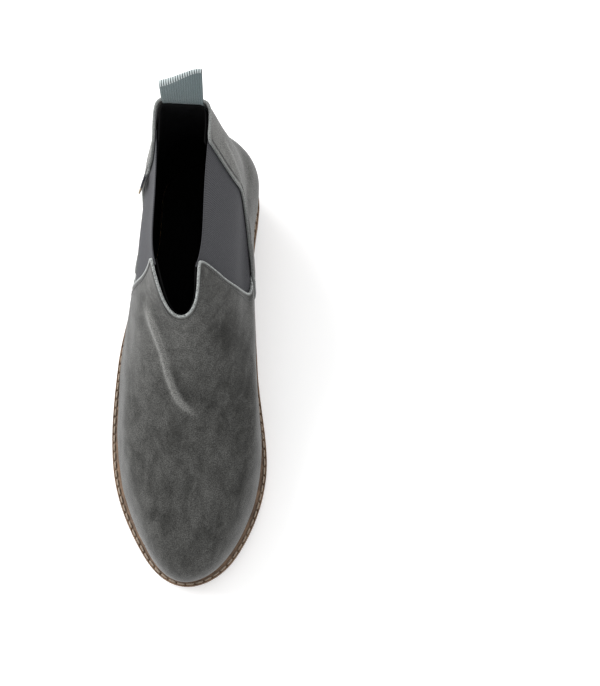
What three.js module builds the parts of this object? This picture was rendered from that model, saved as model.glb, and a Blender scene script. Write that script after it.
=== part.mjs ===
// A men's suede chelsea boot, right foot, standing on its sole.
// Millimetres, +Z up, toe towards -Y, inner (medial) side towards +X.
// The origin of the exported group is the bottom centre of the boot's bounding box.
import * as THREE from "three";

// ---------- Driving dimensions ----------
const BOOT_LENGTH = 305; // toe tip to heel, measured on the feather line
const WIDTH_SCALE = 1; // 1 is a medium last
const SHAFT_HEIGHT = 134; // feather line at the heel up to the back of the collar
const HEEL_SEAT = 33; // height of the feather line at the heel
const BALL_SEAT = 8.5; // height of the feather line at the ball
const TOE_SPRING = 9; // extra height of the feather line at the toe
const TREAD_FLAT = 12; // half length of the flat tread under the ball

const SUEDE = 1.6;
const MIDDLE_LAYER = 1.2; // room between suede and lining for elastic, stiffeners and the tab's tail
const ELASTIC = 0.6;
const STIFFENER = 0.5;
const TAIL_THICKNESS = 0.9;
const LINING = 1.0;
const LAYER_GAP = 0.3; // clearance between two neighbouring pieces
const LASTING_MARGIN = 10; // suede turned in under the insole
const GORE_UNDERLAP = 6; // elastic hidden behind the vamp and the quarter, in degrees
const LAP_CLEARANCE = 0.5; // between the vamp and the quarter that laps over it
const LAP_ANGLE = 5; // vamp hidden behind the quarter at the side seam, in degrees

const WELT_WIDTH = 4.6; // welt showing outside the upper
const WELT_INSET = 3; // welt held under the upper
const WELT_THICKNESS = 3;
const OUTSOLE_THICKNESS = 4.9;
const OUTSOLE_TRIM = 0.4; // the outsole edge is trimmed a little inside the welt edge
const INSOLE_THICKNESS = 2.3;
const SOCK_THICKNESS = 2.5;
const SHANK_WIDTH = 13;
const SHANK_CLEARANCE = 0.3; // the shank and filler are this much thinner than the suede margin round them
const SHANK_START = 135; // distance from the toe
const SHANK_END = 248;
const FORE_FILLER_END = 130;

const HEEL_BREAST = 232; // distance from the toe to the front of the heel
const TOP_PIECE_THICKNESS = 6;
const LIFT_COUNT = 3;
const HEEL_TAPER = 0.6; // each heel layer steps in by this much towards the floor
const NAIL_RADIUS = 0.8;
const NAIL_HEAD_RADIUS = 1.7;
const NAIL_HEAD_HEIGHT = 1.2;
const NAIL_RECESS = 0.8; // nail heads sit this far above the wearing face
const NAIL_CLEARANCE = 0.3;
const NAIL_POINT = 2; // length of a nail's tapered end
const NAIL_INSET = 13; // nails stand this far inside the heel edge

const TAB_WIDTH = 25;
const TAB_HEIGHT = 30; // loop above its hinge line
const TAB_THREAD = 1.4; // webbing thickness
const TAB_SLOT = 1.2; // gap between the two legs of the folded webbing
const TAB_LEAN = 6; // degrees towards the heel
const TAB_TAIL_DEPTH = 0.12; // share of the shaft that the sewn tail reaches down

const TAG_HEIGHT = 14;
const TAG_LENGTH = 7.5;
const TAG_THICKNESS = 1.1;
const TAG_SPREAD = 18; // degrees between the tag and the gore
const TAG_LEVEL = 0.785; // height on the shaft, 0 at the feather line, 1 at the collar

const THREAD_RADIUS = 0.45;
const WELT_THREAD_RADIUS = 0.6;
const THREAD_CLEARANCE = 0.75; // under a thread, over the leather
const QUARTER_SEAM = 2.2; // quarter stitches behind its front edge, in degrees
const VAMP_SEAM = 2.6; // vamp stitches in front of its gore edge, in degrees
const SCOOP_SEAM = 0.02; // scoop stitches under the scoop's edge, in levels
const WELT_SEAM = 0.72; // where the welt stitches run, as a share of the welt's width

// ---------- Shape of the last ----------
// Half widths of the sole every 30 degrees, from the toe round the medial side to the heel and
// back along the lateral side. The tip of the toe leans to the medial side.
const HALF_WIDTHS = [3, 32.2, 48.8, 39.3, 33, 32.5, 0, -30, -34, -49.4, -47.5, -24.4];

// Rings from the feather line up to the collar. Front and back are [distance from the toe,
// height over the feather line]; foot is the widths' scale at toe and heel; oval is how far the
// section has changed from the foot outline to an oval of half width `half`; level is how far
// the ring has let go of the sole's curve; waist fills or hollows the medial and lateral waist;
// square makes the oval boxier at front and back; flat straightens the back for the pull tab.
const RINGS = [
  { front: [6, 0], back: [300, 0], foot: [1, 1], oval: 0, half: 45, lean: 0, level: 0,
    waist: [0, 0], square: [0.05, 0.05], flat: 0 },
  { front: [2, 12], back: [304.5, 14], foot: [0.96, 1.13], oval: 0, half: 45, lean: 0, level: 0,
    waist: [2.5, 0.5], square: [0.05, 0.05], flat: 0 },
  { front: [6, 29], back: [307, 30], foot: [0.91, 1.11], oval: 0, half: 42, lean: 0, level: 0,
    waist: [2.5, 3], square: [0.05, 0.05], flat: 0 },
  { front: [24, 44], back: [306.5, 46], foot: [0.88, 1.04], oval: 0.15, half: 38, lean: 0, level: 0.1,
    waist: [4, 1.6], square: [0.05, 0.05], flat: 0 },
  { front: [66, 55], back: [304, 66], foot: [0.8, 1.03], oval: 0.45, half: 36.3, lean: -0.3, level: 0.5,
    waist: [2.5, 0], square: [0.05, 0.08], flat: 0 },
  { front: [112, 76], back: [298, 91], foot: [0.7, 1], oval: 0.8, half: 37, lean: -2.3, level: 1,
    waist: [0, -1.6], square: [0.05, 0.1], flat: 0 },
  { front: [147, 97], back: [290.5, 115], foot: [0.7, 1], oval: 1, half: 35.5, lean: -3.4, level: 1,
    waist: [0, -0.5], square: [0.05, 0.12], flat: 0.03 },
  { front: [163, 122], back: [287, 140], foot: [0.7, 1], oval: 1, half: 26, lean: -4.6, level: 1,
    waist: [0, 0.8], square: [0.05, 0.14], flat: 0.07 },
  { front: [172.5, 144.5], back: [285.5, 167], foot: [0.7, 1], oval: 1, half: 18.5, lean: -8.3, level: 1,
    waist: [0, 0], square: [0.09, 0.2], flat: 0.12 },
];
const RING_LENGTH = 305; // the rings above are drawn for this length,
const RING_SHAFT = 134; // this shaft height,
const RING_SEATS = { ball: 8.5, heel: 33, toeSpring: 9 }; // and these seats
const BALL_AT = 106; // distance from the toe, on the drawn length
const SEAT_FLAT_AT = HEEL_BREAST; // the feather line is level over the heel

const lengthScale = BOOT_LENGTH / RING_LENGTH;
const shaftScale = SHAFT_HEIGHT / RING_SHAFT;
const degrees = THREE.MathUtils.degToRad;
const { lerp } = THREE.MathUtils;

const smooth = (t) => {
  const u = THREE.MathUtils.clamp(t, 0, 1);
  return u * u * (3 - 2 * u);
};

/** Height of the feather line at a distance from the toe on the drawn length, for given seats. */
function seatCurve(distance, { ball, heel, toeSpring }) {
  const treadStart = BALL_AT - TREAD_FLAT;
  const treadEnd = BALL_AT + TREAD_FLAT;
  if (distance < treadStart) return ball + toeSpring * ((treadStart - distance) / treadStart) ** 2;
  return ball + (heel - ball) * smooth((distance - treadEnd) / (SEAT_FLAT_AT - treadEnd));
}
const seats = { ball: BALL_SEAT, heel: HEEL_SEAT, toeSpring: TOE_SPRING };

/** Half width of the sole at an angle, on a smooth closed curve through HALF_WIDTHS. */
function soleHalfWidth(angle) {
  const t = (((angle / degrees(30)) % 12) + 12) % 12;
  const i = Math.floor(t);
  const u = t - i;
  const [a, b, c, d] = [-1, 0, 1, 2].map((k) => HALF_WIDTHS[(i + k + 12) % 12]);
  const bend = 2 * a - 5 * b + 4 * c - d;
  const twist = 3 * b - 3 * c + d - a;
  return 0.5 * (2 * b + (c - a) * u + bend * u ** 2 + twist * u ** 3);
}

/** Point of one ring at an angle: 0 at the toe, 90 degrees on the medial side, 180 at the heel. */
function ringPoint(ring, angle) {
  const back = (1 - Math.cos(angle)) / 2;
  const ease = smooth(back);
  const flat = ring.flat * ease;
  const along = (1 - (Math.cos(angle) - flat * Math.cos(3 * angle)) / (1 - flat)) / 2;
  const square = lerp(ring.square[0], ring.square[1], ease);
  const sine = Math.sin(angle);
  const oval = (ring.half * (sine + square * Math.sin(3 * angle))) / Math.sqrt(1 - square);
  const foot = soleHalfWidth(angle) * lerp(ring.foot[0], ring.foot[1], ease);
  const waist = (sine > 0 ? ring.waist[0] : ring.waist[1]) * sine ** 4;
  const distance = lerp(ring.front[0], ring.back[0], along);
  const rise = lerp(ring.front[1], ring.back[1], along);
  const height = rise - ring.level * seatCurve(distance, RING_SEATS);
  return new THREE.Vector3(
    ((1 - ring.oval) * foot + ring.oval * oval + ring.lean + waist) * WIDTH_SCALE,
    distance * lengthScale,
    seatCurve(distance, seats) + height * shaftScale,
  );
}

/** Uniform cubic B-spline weights. */
function splineWeights(u) {
  const [before, at, after, last] = [
    (1 - u) ** 3,
    3 * u ** 3 - 6 * u ** 2 + 4,
    3 * (u + u ** 2 - u ** 3) + 1,
    u ** 3,
  ];
  return [before / 6, at / 6, after / 6, last / 6];
}

/** Outside of the upper at an angle and a level: 0 at the feather line, 1 at the collar. */
function upperPoint(angle, level) {
  const last = RINGS.length - 1;
  const t = level * last;
  const i = THREE.MathUtils.clamp(Math.floor(t), 0, last - 1);
  const weights = splineWeights(t - i);
  const at = (k) => {
    if (k >= 0 && k <= last) return ringPoint(RINGS[k], angle);
    const [end, next] = k < 0 ? [0, 1] : [last, last - 1];
    return ringPoint(RINGS[end], angle).multiplyScalar(2).sub(ringPoint(RINGS[next], angle));
  };
  return weights.reduce((sum, w, k) => sum.addScaledVector(at(i + k - 1), w), new THREE.Vector3());
}

/** Unit vector out of the upper. */
function upperNormal(angle, level) {
  const step = 1e-3;
  const round = upperPoint(angle + step, level).sub(upperPoint(angle - step, level));
  const up = upperPoint(angle, level + step).sub(upperPoint(angle, level - step));
  return round.cross(up).normalize();
}

/** Point at a depth under the outside of the upper; a negative depth stands proud of it. */
function layerPoint(angle, level, depth) {
  return upperPoint(angle, level).addScaledVector(upperNormal(angle, level), -depth);
}

/** Point moved out from the feather line in the ground plane, `lift` above the seat curve there. */
function featherPoint(angle, out, lift) {
  const normal = upperNormal(angle, 0).setZ(0).normalize();
  const point = upperPoint(angle, 0).addScaledVector(normal, out);
  return point.setZ(seatCurve(point.y / lengthScale, seats) + lift);
}

// ---------- Mesh helpers ----------
/** A closed mesh from a list of corners and triangles; corners that coincide become one. */
function closedGeometry(corners, triangles) {
  const places = new Map();
  const positions = [];
  const merged = corners.map((p) => {
    const key = p.toArray().map((c) => Math.round(c * 1e3)).join();
    if (!places.has(key)) {
      places.set(key, positions.length / 3);
      positions.push(...p.toArray());
    }
    return places.get(key);
  });
  const index = triangles
    .map((t) => t.map((k) => merged[k]))
    .filter(([a, b, c]) => a !== b && b !== c && c !== a);
  const geometry = new THREE.BufferGeometry();
  geometry.setAttribute("position", new THREE.Float32BufferAttribute(positions, 3));
  geometry.setIndex(index.flat());
  geometry.computeVertexNormals();
  return geometry;
}

/** Sections of the same number of corners, joined in turn; open ends are closed by fans. */
function loft(sections, closed = false) {
  const size = sections[0].length;
  const triangles = [];
  const quad = (a, b, c, d) => triangles.push([a, b, c], [a, c, d]);
  const joints = closed ? sections.length : sections.length - 1;
  for (let s = 0; s < joints; s++) {
    const here = s * size;
    const next = ((s + 1) % sections.length) * size;
    for (let k = 0; k < size; k++) {
      const m = (k + 1) % size;
      quad(here + k, next + k, next + m, here + m);
    }
  }
  if (!closed) {
    const end = (sections.length - 1) * size;
    for (let k = 0; k < size / 2 - 1; k++) {
      const far = size - 1 - k;
      quad(k, k + 1, far - 1, far);
      quad(end + k, end + far, end + far - 1, end + k + 1);
    }
  }
  return closedGeometry(sections.flat(), triangles);
}

/**
 * A skin of constant thickness. Each column is a list of [outside, inside] pairs, and each section
 * runs up the outside and down the inside.
 */
function skin(columns, closed = false) {
  const sections = columns.map((pairs) => [...pairs.map((p) => p[0]), ...pairs.map((p) => p[1]).reverse()]);
  return loft(sections, closed);
}

const range = (count) => Array.from({ length: count }, (_, k) => k);

const COLUMN_STEP = 7.5; // degrees between two columns of every skin
const TURN_COLUMNS = 360 / COLUMN_STEP;
const NARROWEST_COLUMN = 2; // degrees
const ROWS = 12;
const LOW_LEVEL = 0.38; // below this every skin has its rows at the same levels

/** Angles from one to another, both included, on multiples of the shared step between them. */
function columnAngles(from, to) {
  const inner = range(2 * TURN_COLUMNS)
    .map((k) => (k - TURN_COLUMNS) * COLUMN_STEP)
    .filter((a) => a > from + NARROWEST_COLUMN && a < to - NARROWEST_COLUMN);
  return [from, ...inner, to];
}

/** Levels of a column's rows between its lower and upper edge. */
function rowLevels(bottom, top) {
  return range(ROWS + 1).map((k) => {
    const level = k / ROWS;
    if (level <= LOW_LEVEL) return Math.max(level, bottom);
    return LOW_LEVEL + ((level - LOW_LEVEL) * (top - LOW_LEVEL)) / (1 - LOW_LEVEL);
  });
}

// ---------- Pattern lines of the upper ----------
// The vamp's top edge as [degrees from the toe, level]: the front scoop, the peak beside it, and
// the edge that runs down the gore to the side seam. Both sides are alike.
const VAMP_EDGE = [
  [0, 0.853], [9.5, 0.862], [19, 0.889], [28, 0.931], [36, 0.967], [44, 0.985], [49, 0.96], [54, 0.892],
  [59, 0.818], [66, 0.75], [83, 0.605], [95, 0.48], [102, 0.415], [108, 0.385], [125, 0.385],
];
// The quarter's front edge as [level, degrees from the toe].
const QUARTER_EDGE = [
  [0, 101], [0.2, 101], [0.36, 101], [0.43, 103], [0.48, 107], [0.55, 112.5], [0.63, 116], [0.72, 116],
  [0.82, 113.5], [1, 114.5],
];
const GORE_TOP = 0.985;
const GORE_BOTTOM = 0.4;
const SCOOP_ANGLE = 44; // where the vamp's peak stands

/** Value of a pattern line at x, smoothed between its points and level at its start. */
function along(line, x) {
  const last = line.length - 2;
  const found = line.findIndex(([at]) => at > x) - 1;
  const i = THREE.MathUtils.clamp(found < 0 ? last : found, 0, last);
  const slope = (k) => {
    if (k === 0) return 0;
    const [a, b] = [line[Math.max(k - 1, 0)], line[Math.min(k + 1, last + 1)]];
    return (b[1] - a[1]) / (b[0] - a[0]);
  };
  const [[x0, y0], [x1, y1]] = [line[i], line[i + 1]];
  const width = x1 - x0;
  const u = THREE.MathUtils.clamp((x - x0) / width, 0, 1);
  const rise = (3 - 2 * u) * u ** 2;
  const blend0 = u * (1 - u) ** 2 * width * slope(i);
  const blend1 = u ** 2 * (u - 1) * width * slope(i + 1);
  return y0 + (y1 - y0) * rise + blend0 + blend1;
}
const vampTop = (angle) => along(VAMP_EDGE, Math.abs(angle));
const quarterFront = (level) => along(QUARTER_EDGE, level);

/** Angle of the vamp's edge beside the gore at a level. */
function goreFront(level) {
  let [low, high] = [SCOOP_ANGLE, 108];
  for (let k = 0; k < 30; k++) {
    const middle = (low + high) / 2;
    if (vampTop(middle) > level) low = middle;
    else high = middle;
  }
  return low;
}

// The lap sinks back to the last's surface in these steps: degrees behind the vamp, then levels.
const LAP_SINK = { start: 1.5, over: 6 };
const LAP_TOP = { start: 0.45, over: 0.06 };

/** How far the quarter stands proud where it laps over the vamp, below the gore. */
function lapRise(beyondEdge, level) {
  const lap = SUEDE + LAP_CLEARANCE;
  const fadeBack = 1 - smooth((beyondEdge - LAP_ANGLE - LAP_SINK.start) / LAP_SINK.over);
  const fadeUp = 1 - smooth((level - LAP_TOP.start) / LAP_TOP.over);
  return lap * fadeBack * fadeUp;
}

const middleOuter = SUEDE + LAYER_GAP;
const liningOuter = middleOuter + MIDDLE_LAYER + LAYER_GAP;
const liningInner = liningOuter + LINING;
const FOOT_CLEARANCE = 0.69; // linings and stiffeners stand this far over the lasting margin
const WALL_RISE = 104 * shaftScale; // millimetres of wall to one level, just over the feather line
const LINING_BOTTOM = (SUEDE + FOOT_CLEARANCE) / WALL_RISE;
const LINING_DROP = 0.006; // linings end this far under the suede's edge

const at = (angle, level, outer, inner) => [
  layerPoint(degrees(angle), level, outer),
  layerPoint(degrees(angle), level, inner),
];

/** The bottom of a suede column, with its lasting margin turned in under the insole. */
function suedeFoot(angle, rise) {
  const radians = degrees(angle);
  const margin = rise - LASTING_MARGIN;
  return [
    [featherPoint(radians, margin, 0), featherPoint(radians, margin, SUEDE)],
    [featherPoint(radians, rise, 0), featherPoint(radians, rise - SUEDE, SUEDE)],
  ];
}

/** The bottom of a suede column that laps over another and is trimmed at the welt. */
function trimmedFoot(angle, rise) {
  const [outer, inner] = [rise, rise - SUEDE].map((out) => featherPoint(degrees(angle), out, 0));
  return [[inner, inner], [outer, inner]];
}

// ---------- Materials ----------
const paint = (color, roughness, metalness = 0) =>
  new THREE.MeshStandardMaterial({ color, roughness, metalness });
const materials = {
  suede: paint(0x6f6d6b, 0.95),
  elastic: paint(0x4d4c52, 0.9),
  lining: paint(0x161618, 0.85),
  stiffener: paint(0xb9a98c, 0.8),
  webbing: paint(0x68767c, 0.85),
  tag: paint(0x232a3b, 0.8),
  welt: paint(0x5b4330, 0.6),
  thread: paint(0xb5a58e, 0.8),
  greyThread: paint(0x8d8b89, 0.85),
  outsole: paint(0x4a3426, 0.7),
  heel: paint(0x553b28, 0.6),
  rubber: paint(0x2b2521, 0.85),
  cork: paint(0x9a7248, 0.95),
  board: paint(0xa98a63, 0.85),
  steel: paint(0x8a8d90, 0.4, 0.9),
};

const boot = new THREE.Group();
function add(name, geometry, material) {
  const mesh = new THREE.Mesh(geometry, material);
  mesh.name = name;
  boot.add(mesh);
  return mesh;
}

const extrude = (shape, depth, curveSegments) =>
  new THREE.ExtrudeGeometry(shape, { depth, bevelEnabled: false, curveSegments });

// ---------- Upper ----------
const SIDES = { medial: 1, lateral: -1 };

/** Angle where the vamp ends behind the quarter. The same angle serves from feather to gore. */
const SIDE_SEAM_LEVEL = 0.3; // below the gore, where the side seam runs straight down
const vampEnd = quarterFront(SIDE_SEAM_LEVEL) + LAP_ANGLE;

function buildVamp() {
  const columns = columnAngles(-vampEnd, vampEnd).map((angle) => {
    const levels = rowLevels(0, vampTop(angle)).slice(1);
    return [...suedeFoot(angle, 0), ...levels.map((level) => at(angle, level, 0, SUEDE))];
  });
  add("vamp", skin(columns), materials.suede);
}

const SEAM_HALF_GAP = 0.35; // degrees left open at the back seam
const LAP_STEPS = [0, 3, 6.5, 9.5, 12.5]; // degrees behind the quarter's front edge
const BACK_COLUMNS = 10;

/** Angle of a quarter's column at a level: close behind the front edge, then on to the back seam. */
function quarterAngle(column, level) {
  const front = quarterFront(level);
  const lapEnd = LAP_STEPS.length - 1;
  if (column <= lapEnd) return front + LAP_STEPS[column];
  const share = (column - lapEnd) / BACK_COLUMNS;
  return lerp(front + LAP_STEPS[lapEnd], 180 - SEAM_HALF_GAP, share);
}

function buildQuarter(side) {
  const sign = SIDES[side];
  const levels = rowLevels(0, 1).slice(1);
  const columns = range(LAP_STEPS.length + BACK_COLUMNS).map((column) => {
    const riseAt = (level) => lapRise(quarterAngle(column, level) - quarterFront(level), level);
    const lapped = LAP_STEPS[column] < LAP_ANGLE + 2;
    const foot = (lapped ? trimmedFoot : suedeFoot)(sign * quarterAngle(column, 0), riseAt(0));
    const wall = levels.map((level) =>
      at(sign * quarterAngle(column, level), level, -riseAt(level), SUEDE - riseAt(level)),
    );
    return [...foot, ...wall];
  });
  add(`quarter_${side}`, skin(sign > 0 ? columns : columns.reverse()), materials.suede);
}

const GORE_COLUMNS = 11;
const GORE_ROWS = 15;
const GORE_PLACE = 0.1; // where it lies in the middle layer, from outside to inside
const BELOW_PEAK = 0.01; // the gore's front edge goes straight up from this far under the peak

function buildGore(side) {
  const steps = range(GORE_COLUMNS + 1).map((k) => k / GORE_COLUMNS);
  const outer = middleOuter + GORE_PLACE * (MIDDLE_LAYER - ELASTIC);
  const levels = range(GORE_ROWS + 1).map((k) => lerp(GORE_BOTTOM, GORE_TOP, k / GORE_ROWS));
  const columns = steps.map((share) =>
    levels.map((level) => {
      const front = goreFront(Math.min(level, vampTop(SCOOP_ANGLE) - BELOW_PEAK)) - GORE_UNDERLAP;
      const back = quarterFront(level) + GORE_UNDERLAP;
      const angle = SIDES[side] * lerp(front, back, share);
      return at(angle, level, outer, outer + ELASTIC);
    }),
  );
  add(`gore_${side}`, skin(SIDES[side] > 0 ? columns : columns.reverse()), materials.elastic);
}

function buildVampLining() {
  const end = quarterFront(SIDE_SEAM_LEVEL) - LAYER_GAP;
  const columns = columnAngles(-end, end).map((angle) => {
    const levels = rowLevels(LINING_BOTTOM, vampTop(angle) - LINING_DROP);
    return levels.map((level) => at(angle, level, liningOuter, liningInner));
  });
  add("vamp_lining", skin(columns), materials.lining);
}

function buildQuarterLining() {
  const shares = range(19).map((k) => k / 18);
  const levels = rowLevels(LINING_BOTTOM, 1 - LINING_DROP);
  const columns = shares.map((share) =>
    levels.map((level) => {
      const front = Math.max(quarterFront(level), quarterFront(SIDE_SEAM_LEVEL)) + LAYER_GAP;
      return at(lerp(front, 360 - front, share), level, liningOuter, liningInner);
    }),
  );
  add("quarter_lining", skin(columns), materials.lining);
}

const STIFFENER_FALL = 0.45; // how much lower a stiffener is at its ends, as a share
const STIFFENER_PLACE = 0.75; // where it lies in the middle layer, from outside to inside

/** Toe puff or heel counter: a stiff shell in the middle layer, low in the upper. */
function buildStiffener(name, middle, spread, top) {
  const columns = columnAngles(middle - spread, middle + spread).map((angle) => {
    const edge = Math.abs(angle - middle) / spread;
    const height = top * (1 - STIFFENER_FALL * edge ** 2);
    const levels = range(ROWS + 1)
      .map((k) => Math.max(k / ROWS, LINING_BOTTOM))
      .map((level) => Math.min(level, height));
    const outer = middleOuter + STIFFENER_PLACE * (MIDDLE_LAYER - STIFFENER);
    return levels.map((level) => at(angle, level, outer, outer + STIFFENER));
  });
  add(name, skin(columns), materials.stiffener);
}

// ---------- Pull tab and side tag ----------
const WIDEST_TAB = 60; // degrees to each side of the back seam

/** Angles that stand half the tab's width to each side of the back seam, at the collar. */
function tabAngles() {
  const back = upperPoint(Math.PI, 1);
  const offset = (angle) => upperPoint(degrees(angle), 1).x - back.x;
  const solve = (sign) => {
    let [near, far] = [180, 180 - sign * WIDEST_TAB];
    for (let k = 0; k < 30; k++) {
      const middle = (near + far) / 2;
      if (Math.abs(offset(middle)) < TAB_WIDTH / 2) near = middle;
      else far = middle;
    }
    return near;
  };
  return [solve(1), solve(-1)];
}

const TAB_LIFT = 0.1; // extra room under the loop, over the tail's curved top

function buildPullTab() {
  const [first, last] = tabAngles();
  const angles = range(9).map((k) => lerp(first, last, k / 8));
  const levels = range(5).map((k) => 1 - TAB_TAIL_DEPTH * (1 - k / 4));
  const outer = middleOuter + (MIDDLE_LAYER - TAIL_THICKNESS) / 2;
  const tail = angles.map((angle) => levels.map((level) => at(angle, level, outer, outer + TAIL_THICKNESS)));
  add("pull_tab_tail", skin(tail), materials.webbing);

  const root = layerPoint(Math.PI, 1, middleOuter + MIDDLE_LAYER / 2);
  const round = TAB_THREAD + TAB_SLOT / 2;
  const top = TAB_HEIGHT - round;
  const outline = new THREE.Shape();
  outline.absarc(0, 0, round, Math.PI, 2 * Math.PI);
  outline.absarc(0, top, round, 0, Math.PI);
  const slot = new THREE.Path();
  slot.absarc(0, 2 * round, TAB_SLOT / 2, Math.PI, 2 * Math.PI);
  slot.absarc(0, top, TAB_SLOT / 2, 0, Math.PI);
  outline.holes.push(slot);
  const geometry = extrude(outline, TAB_WIDTH, 6);
  geometry.translate(0, 0, -TAB_WIDTH / 2);
  const loop = add("pull_tab_loop", geometry, materials.webbing);
  // The outline is drawn in the tab's side view: its x is the boot's +Y, its y the boot's +Z.
  const lean = degrees(TAB_LEAN);
  const toHeel = new THREE.Vector3(0, Math.cos(lean), -Math.sin(lean));
  const up = new THREE.Vector3(0, Math.sin(lean), Math.cos(lean));
  loop.setRotationFromMatrix(new THREE.Matrix4().makeBasis(toHeel, up, new THREE.Vector3(1, 0, 0)));
  loop.position.copy(root).add(new THREE.Vector3(0, 0, round + LAYER_GAP + TAB_LIFT));
}

const TAG_SPAN = 0.02; // levels over which the tag's upright is measured
const TAG_LIFT = 0.45; // between the tag and the quarter beside it

function buildSideTag() {
  const level = TAG_LEVEL;
  const angle = -degrees(quarterFront(level));
  const edge = layerPoint(angle, level, 0);
  const out = upperNormal(angle, level);
  const up = upperPoint(angle, level + TAG_SPAN).sub(upperPoint(angle, level - TAG_SPAN)).normalize();
  const forward = new THREE.Vector3().crossVectors(out, up).normalize();
  if (forward.y > 0) forward.negate();
  const spread = degrees(TAG_SPREAD);
  const reach = forward.clone().multiplyScalar(Math.cos(spread)).addScaledVector(out, Math.sin(spread));
  const round = TAG_THICKNESS / 2;
  const outline = new THREE.Shape();
  outline.absarc(0, 0, round, Math.PI / 2, 1.5 * Math.PI);
  outline.absarc(TAG_LENGTH - round, 0, round, -Math.PI / 2, Math.PI / 2);
  const geometry = extrude(outline, TAG_HEIGHT, 4);
  geometry.translate(0, 0, -TAG_HEIGHT / 2);
  const tag = add("side_tag", geometry, materials.tag);
  const side = new THREE.Vector3().crossVectors(up, reach);
  tag.setRotationFromMatrix(new THREE.Matrix4().makeBasis(reach, side, up));
  tag.position
    .copy(edge)
    .addScaledVector(forward, round + 2 * LAYER_GAP)
    .addScaledVector(out, round + 2 * LAYER_GAP - middleOuter + TAG_LIFT);
}

// ---------- Threads ----------
/** A thread laid over points, as a four-sided cord. */
function cord(points, radius, closed, steps) {
  const curve = new THREE.CatmullRomCurve3(points, closed);
  const corners = [[radius, 0], [0, radius], [-radius, 0], [0, -radius]];
  const section = new THREE.Shape(corners.map(([x, y]) => new THREE.Vector2(x, y)));
  return new THREE.ExtrudeGeometry(section, { extrudePath: curve, steps, bevelEnabled: false });
}

const threadDepth = -(THREAD_RADIUS + THREAD_CLEARANCE);

/** Stitches along the scoop and down both gore edges of the vamp. */
function buildVampThreads() {
  const scoop = range(17).map((k) => {
    const angle = lerp(-SCOOP_ANGLE + 4, SCOOP_ANGLE - 4, k / 16);
    return layerPoint(degrees(angle), vampTop(angle) - SCOOP_SEAM, threadDepth);
  });
  add("scoop_thread", cord(scoop, THREAD_RADIUS, false, 24), materials.greyThread);
  for (const side of Object.keys(SIDES)) {
    const edge = range(17).map((k) => {
      const level = lerp(0.93, 0.46, k / 16);
      const angle = goreFront(level) - VAMP_SEAM;
      return layerPoint(SIDES[side] * degrees(angle), level, threadDepth);
    });
    add(`vamp_thread_${side}`, cord(edge, THREAD_RADIUS, false, 20), materials.greyThread);
  }
}

function buildQuarterThreads() {
  for (const side of Object.keys(SIDES)) {
    const edge = range(17).map((k) => {
      const level = lerp(0.97, 0.05, k / 16);
      const angle = SIDES[side] * degrees(quarterFront(level) + QUARTER_SEAM);
      return layerPoint(angle, level, threadDepth - lapRise(QUARTER_SEAM, level));
    });
    add(`quarter_thread_${side}`, cord(edge, THREAD_RADIUS, false, 26), materials.greyThread);
  }
}

// ---------- Bottom ----------
const weltTop = -LAYER_GAP;
const weltBottom = weltTop - WELT_THICKNESS;
const outsoleTop = weltBottom - LAYER_GAP;
const outsoleBottom = outsoleTop - OUTSOLE_THICKNESS;
const SOCK_TRIM = 0.2; // the sock is cut this much smaller than the insole board
const shankThickness = SUEDE - SHANK_CLEARANCE;
const FLOAT = 0.05; // shank and forefoot filler lie this far above the feather line
const insoleBottom = SUEDE + LAYER_GAP;
const insoleTop = insoleBottom + INSOLE_THICKNESS;
const sockTop = insoleTop + LAYER_GAP + SOCK_THICKNESS;
const ringAngles = range(TURN_COLUMNS).map((k) => degrees(k * COLUMN_STEP));

const WELT_THREAD_STEPS = 60;

function buildWelt() {
  const sections = ringAngles.map((angle) => [
    featherPoint(angle, WELT_WIDTH, weltBottom),
    featherPoint(angle, WELT_WIDTH, weltTop),
    featherPoint(angle, -WELT_INSET, weltTop),
    featherPoint(angle, -WELT_INSET, weltBottom),
  ]);
  add("welt", loft(sections, true), materials.welt);
  const lift = weltTop + WELT_THREAD_RADIUS + LAYER_GAP;
  const seam = ringAngles.map((angle) => featherPoint(angle, WELT_WIDTH * WELT_SEAM, lift));
  const ring = new THREE.CatmullRomCurve3(seam, true);
  const up = new THREE.Vector3(0, 0, 1);
  const threads = range(WELT_THREAD_STEPS).map((step) => {
    const share = step / WELT_THREAD_STEPS;
    const centre = ring.getPoint(share);
    const out = new THREE.Vector3().crossVectors(ring.getTangent(share), up).normalize();
    return [[1, 0], [0, 1], [-1, 0], [0, -1]].map(([x, y]) =>
      centre
        .clone()
        .addScaledVector(out, x * WELT_THREAD_RADIUS)
        .addScaledVector(up, y * WELT_THREAD_RADIUS),
    );
  });
  add("welt_stitch", loft(threads, true), materials.thread);
}

/** A sole layer: rungs from the lateral to the medial edge between two distances from the toe. */
function soleLayer(out, bottom, top, from = -Infinity, to = Infinity) {
  const columns = range(TURN_COLUMNS / 2 + 1).map((k) => degrees(k * COLUMN_STEP));
  const sections = columns
    .filter((angle) => {
      const distance = upperPoint(angle, 0).y / lengthScale;
      return distance >= from && distance <= to;
    })
    .map((angle) => [
      featherPoint(angle, out, bottom),
      featherPoint(angle, out, top),
      featherPoint(-angle, out, top),
      featherPoint(-angle, out, bottom),
    ]);
  return loft(sections);
}

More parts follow.
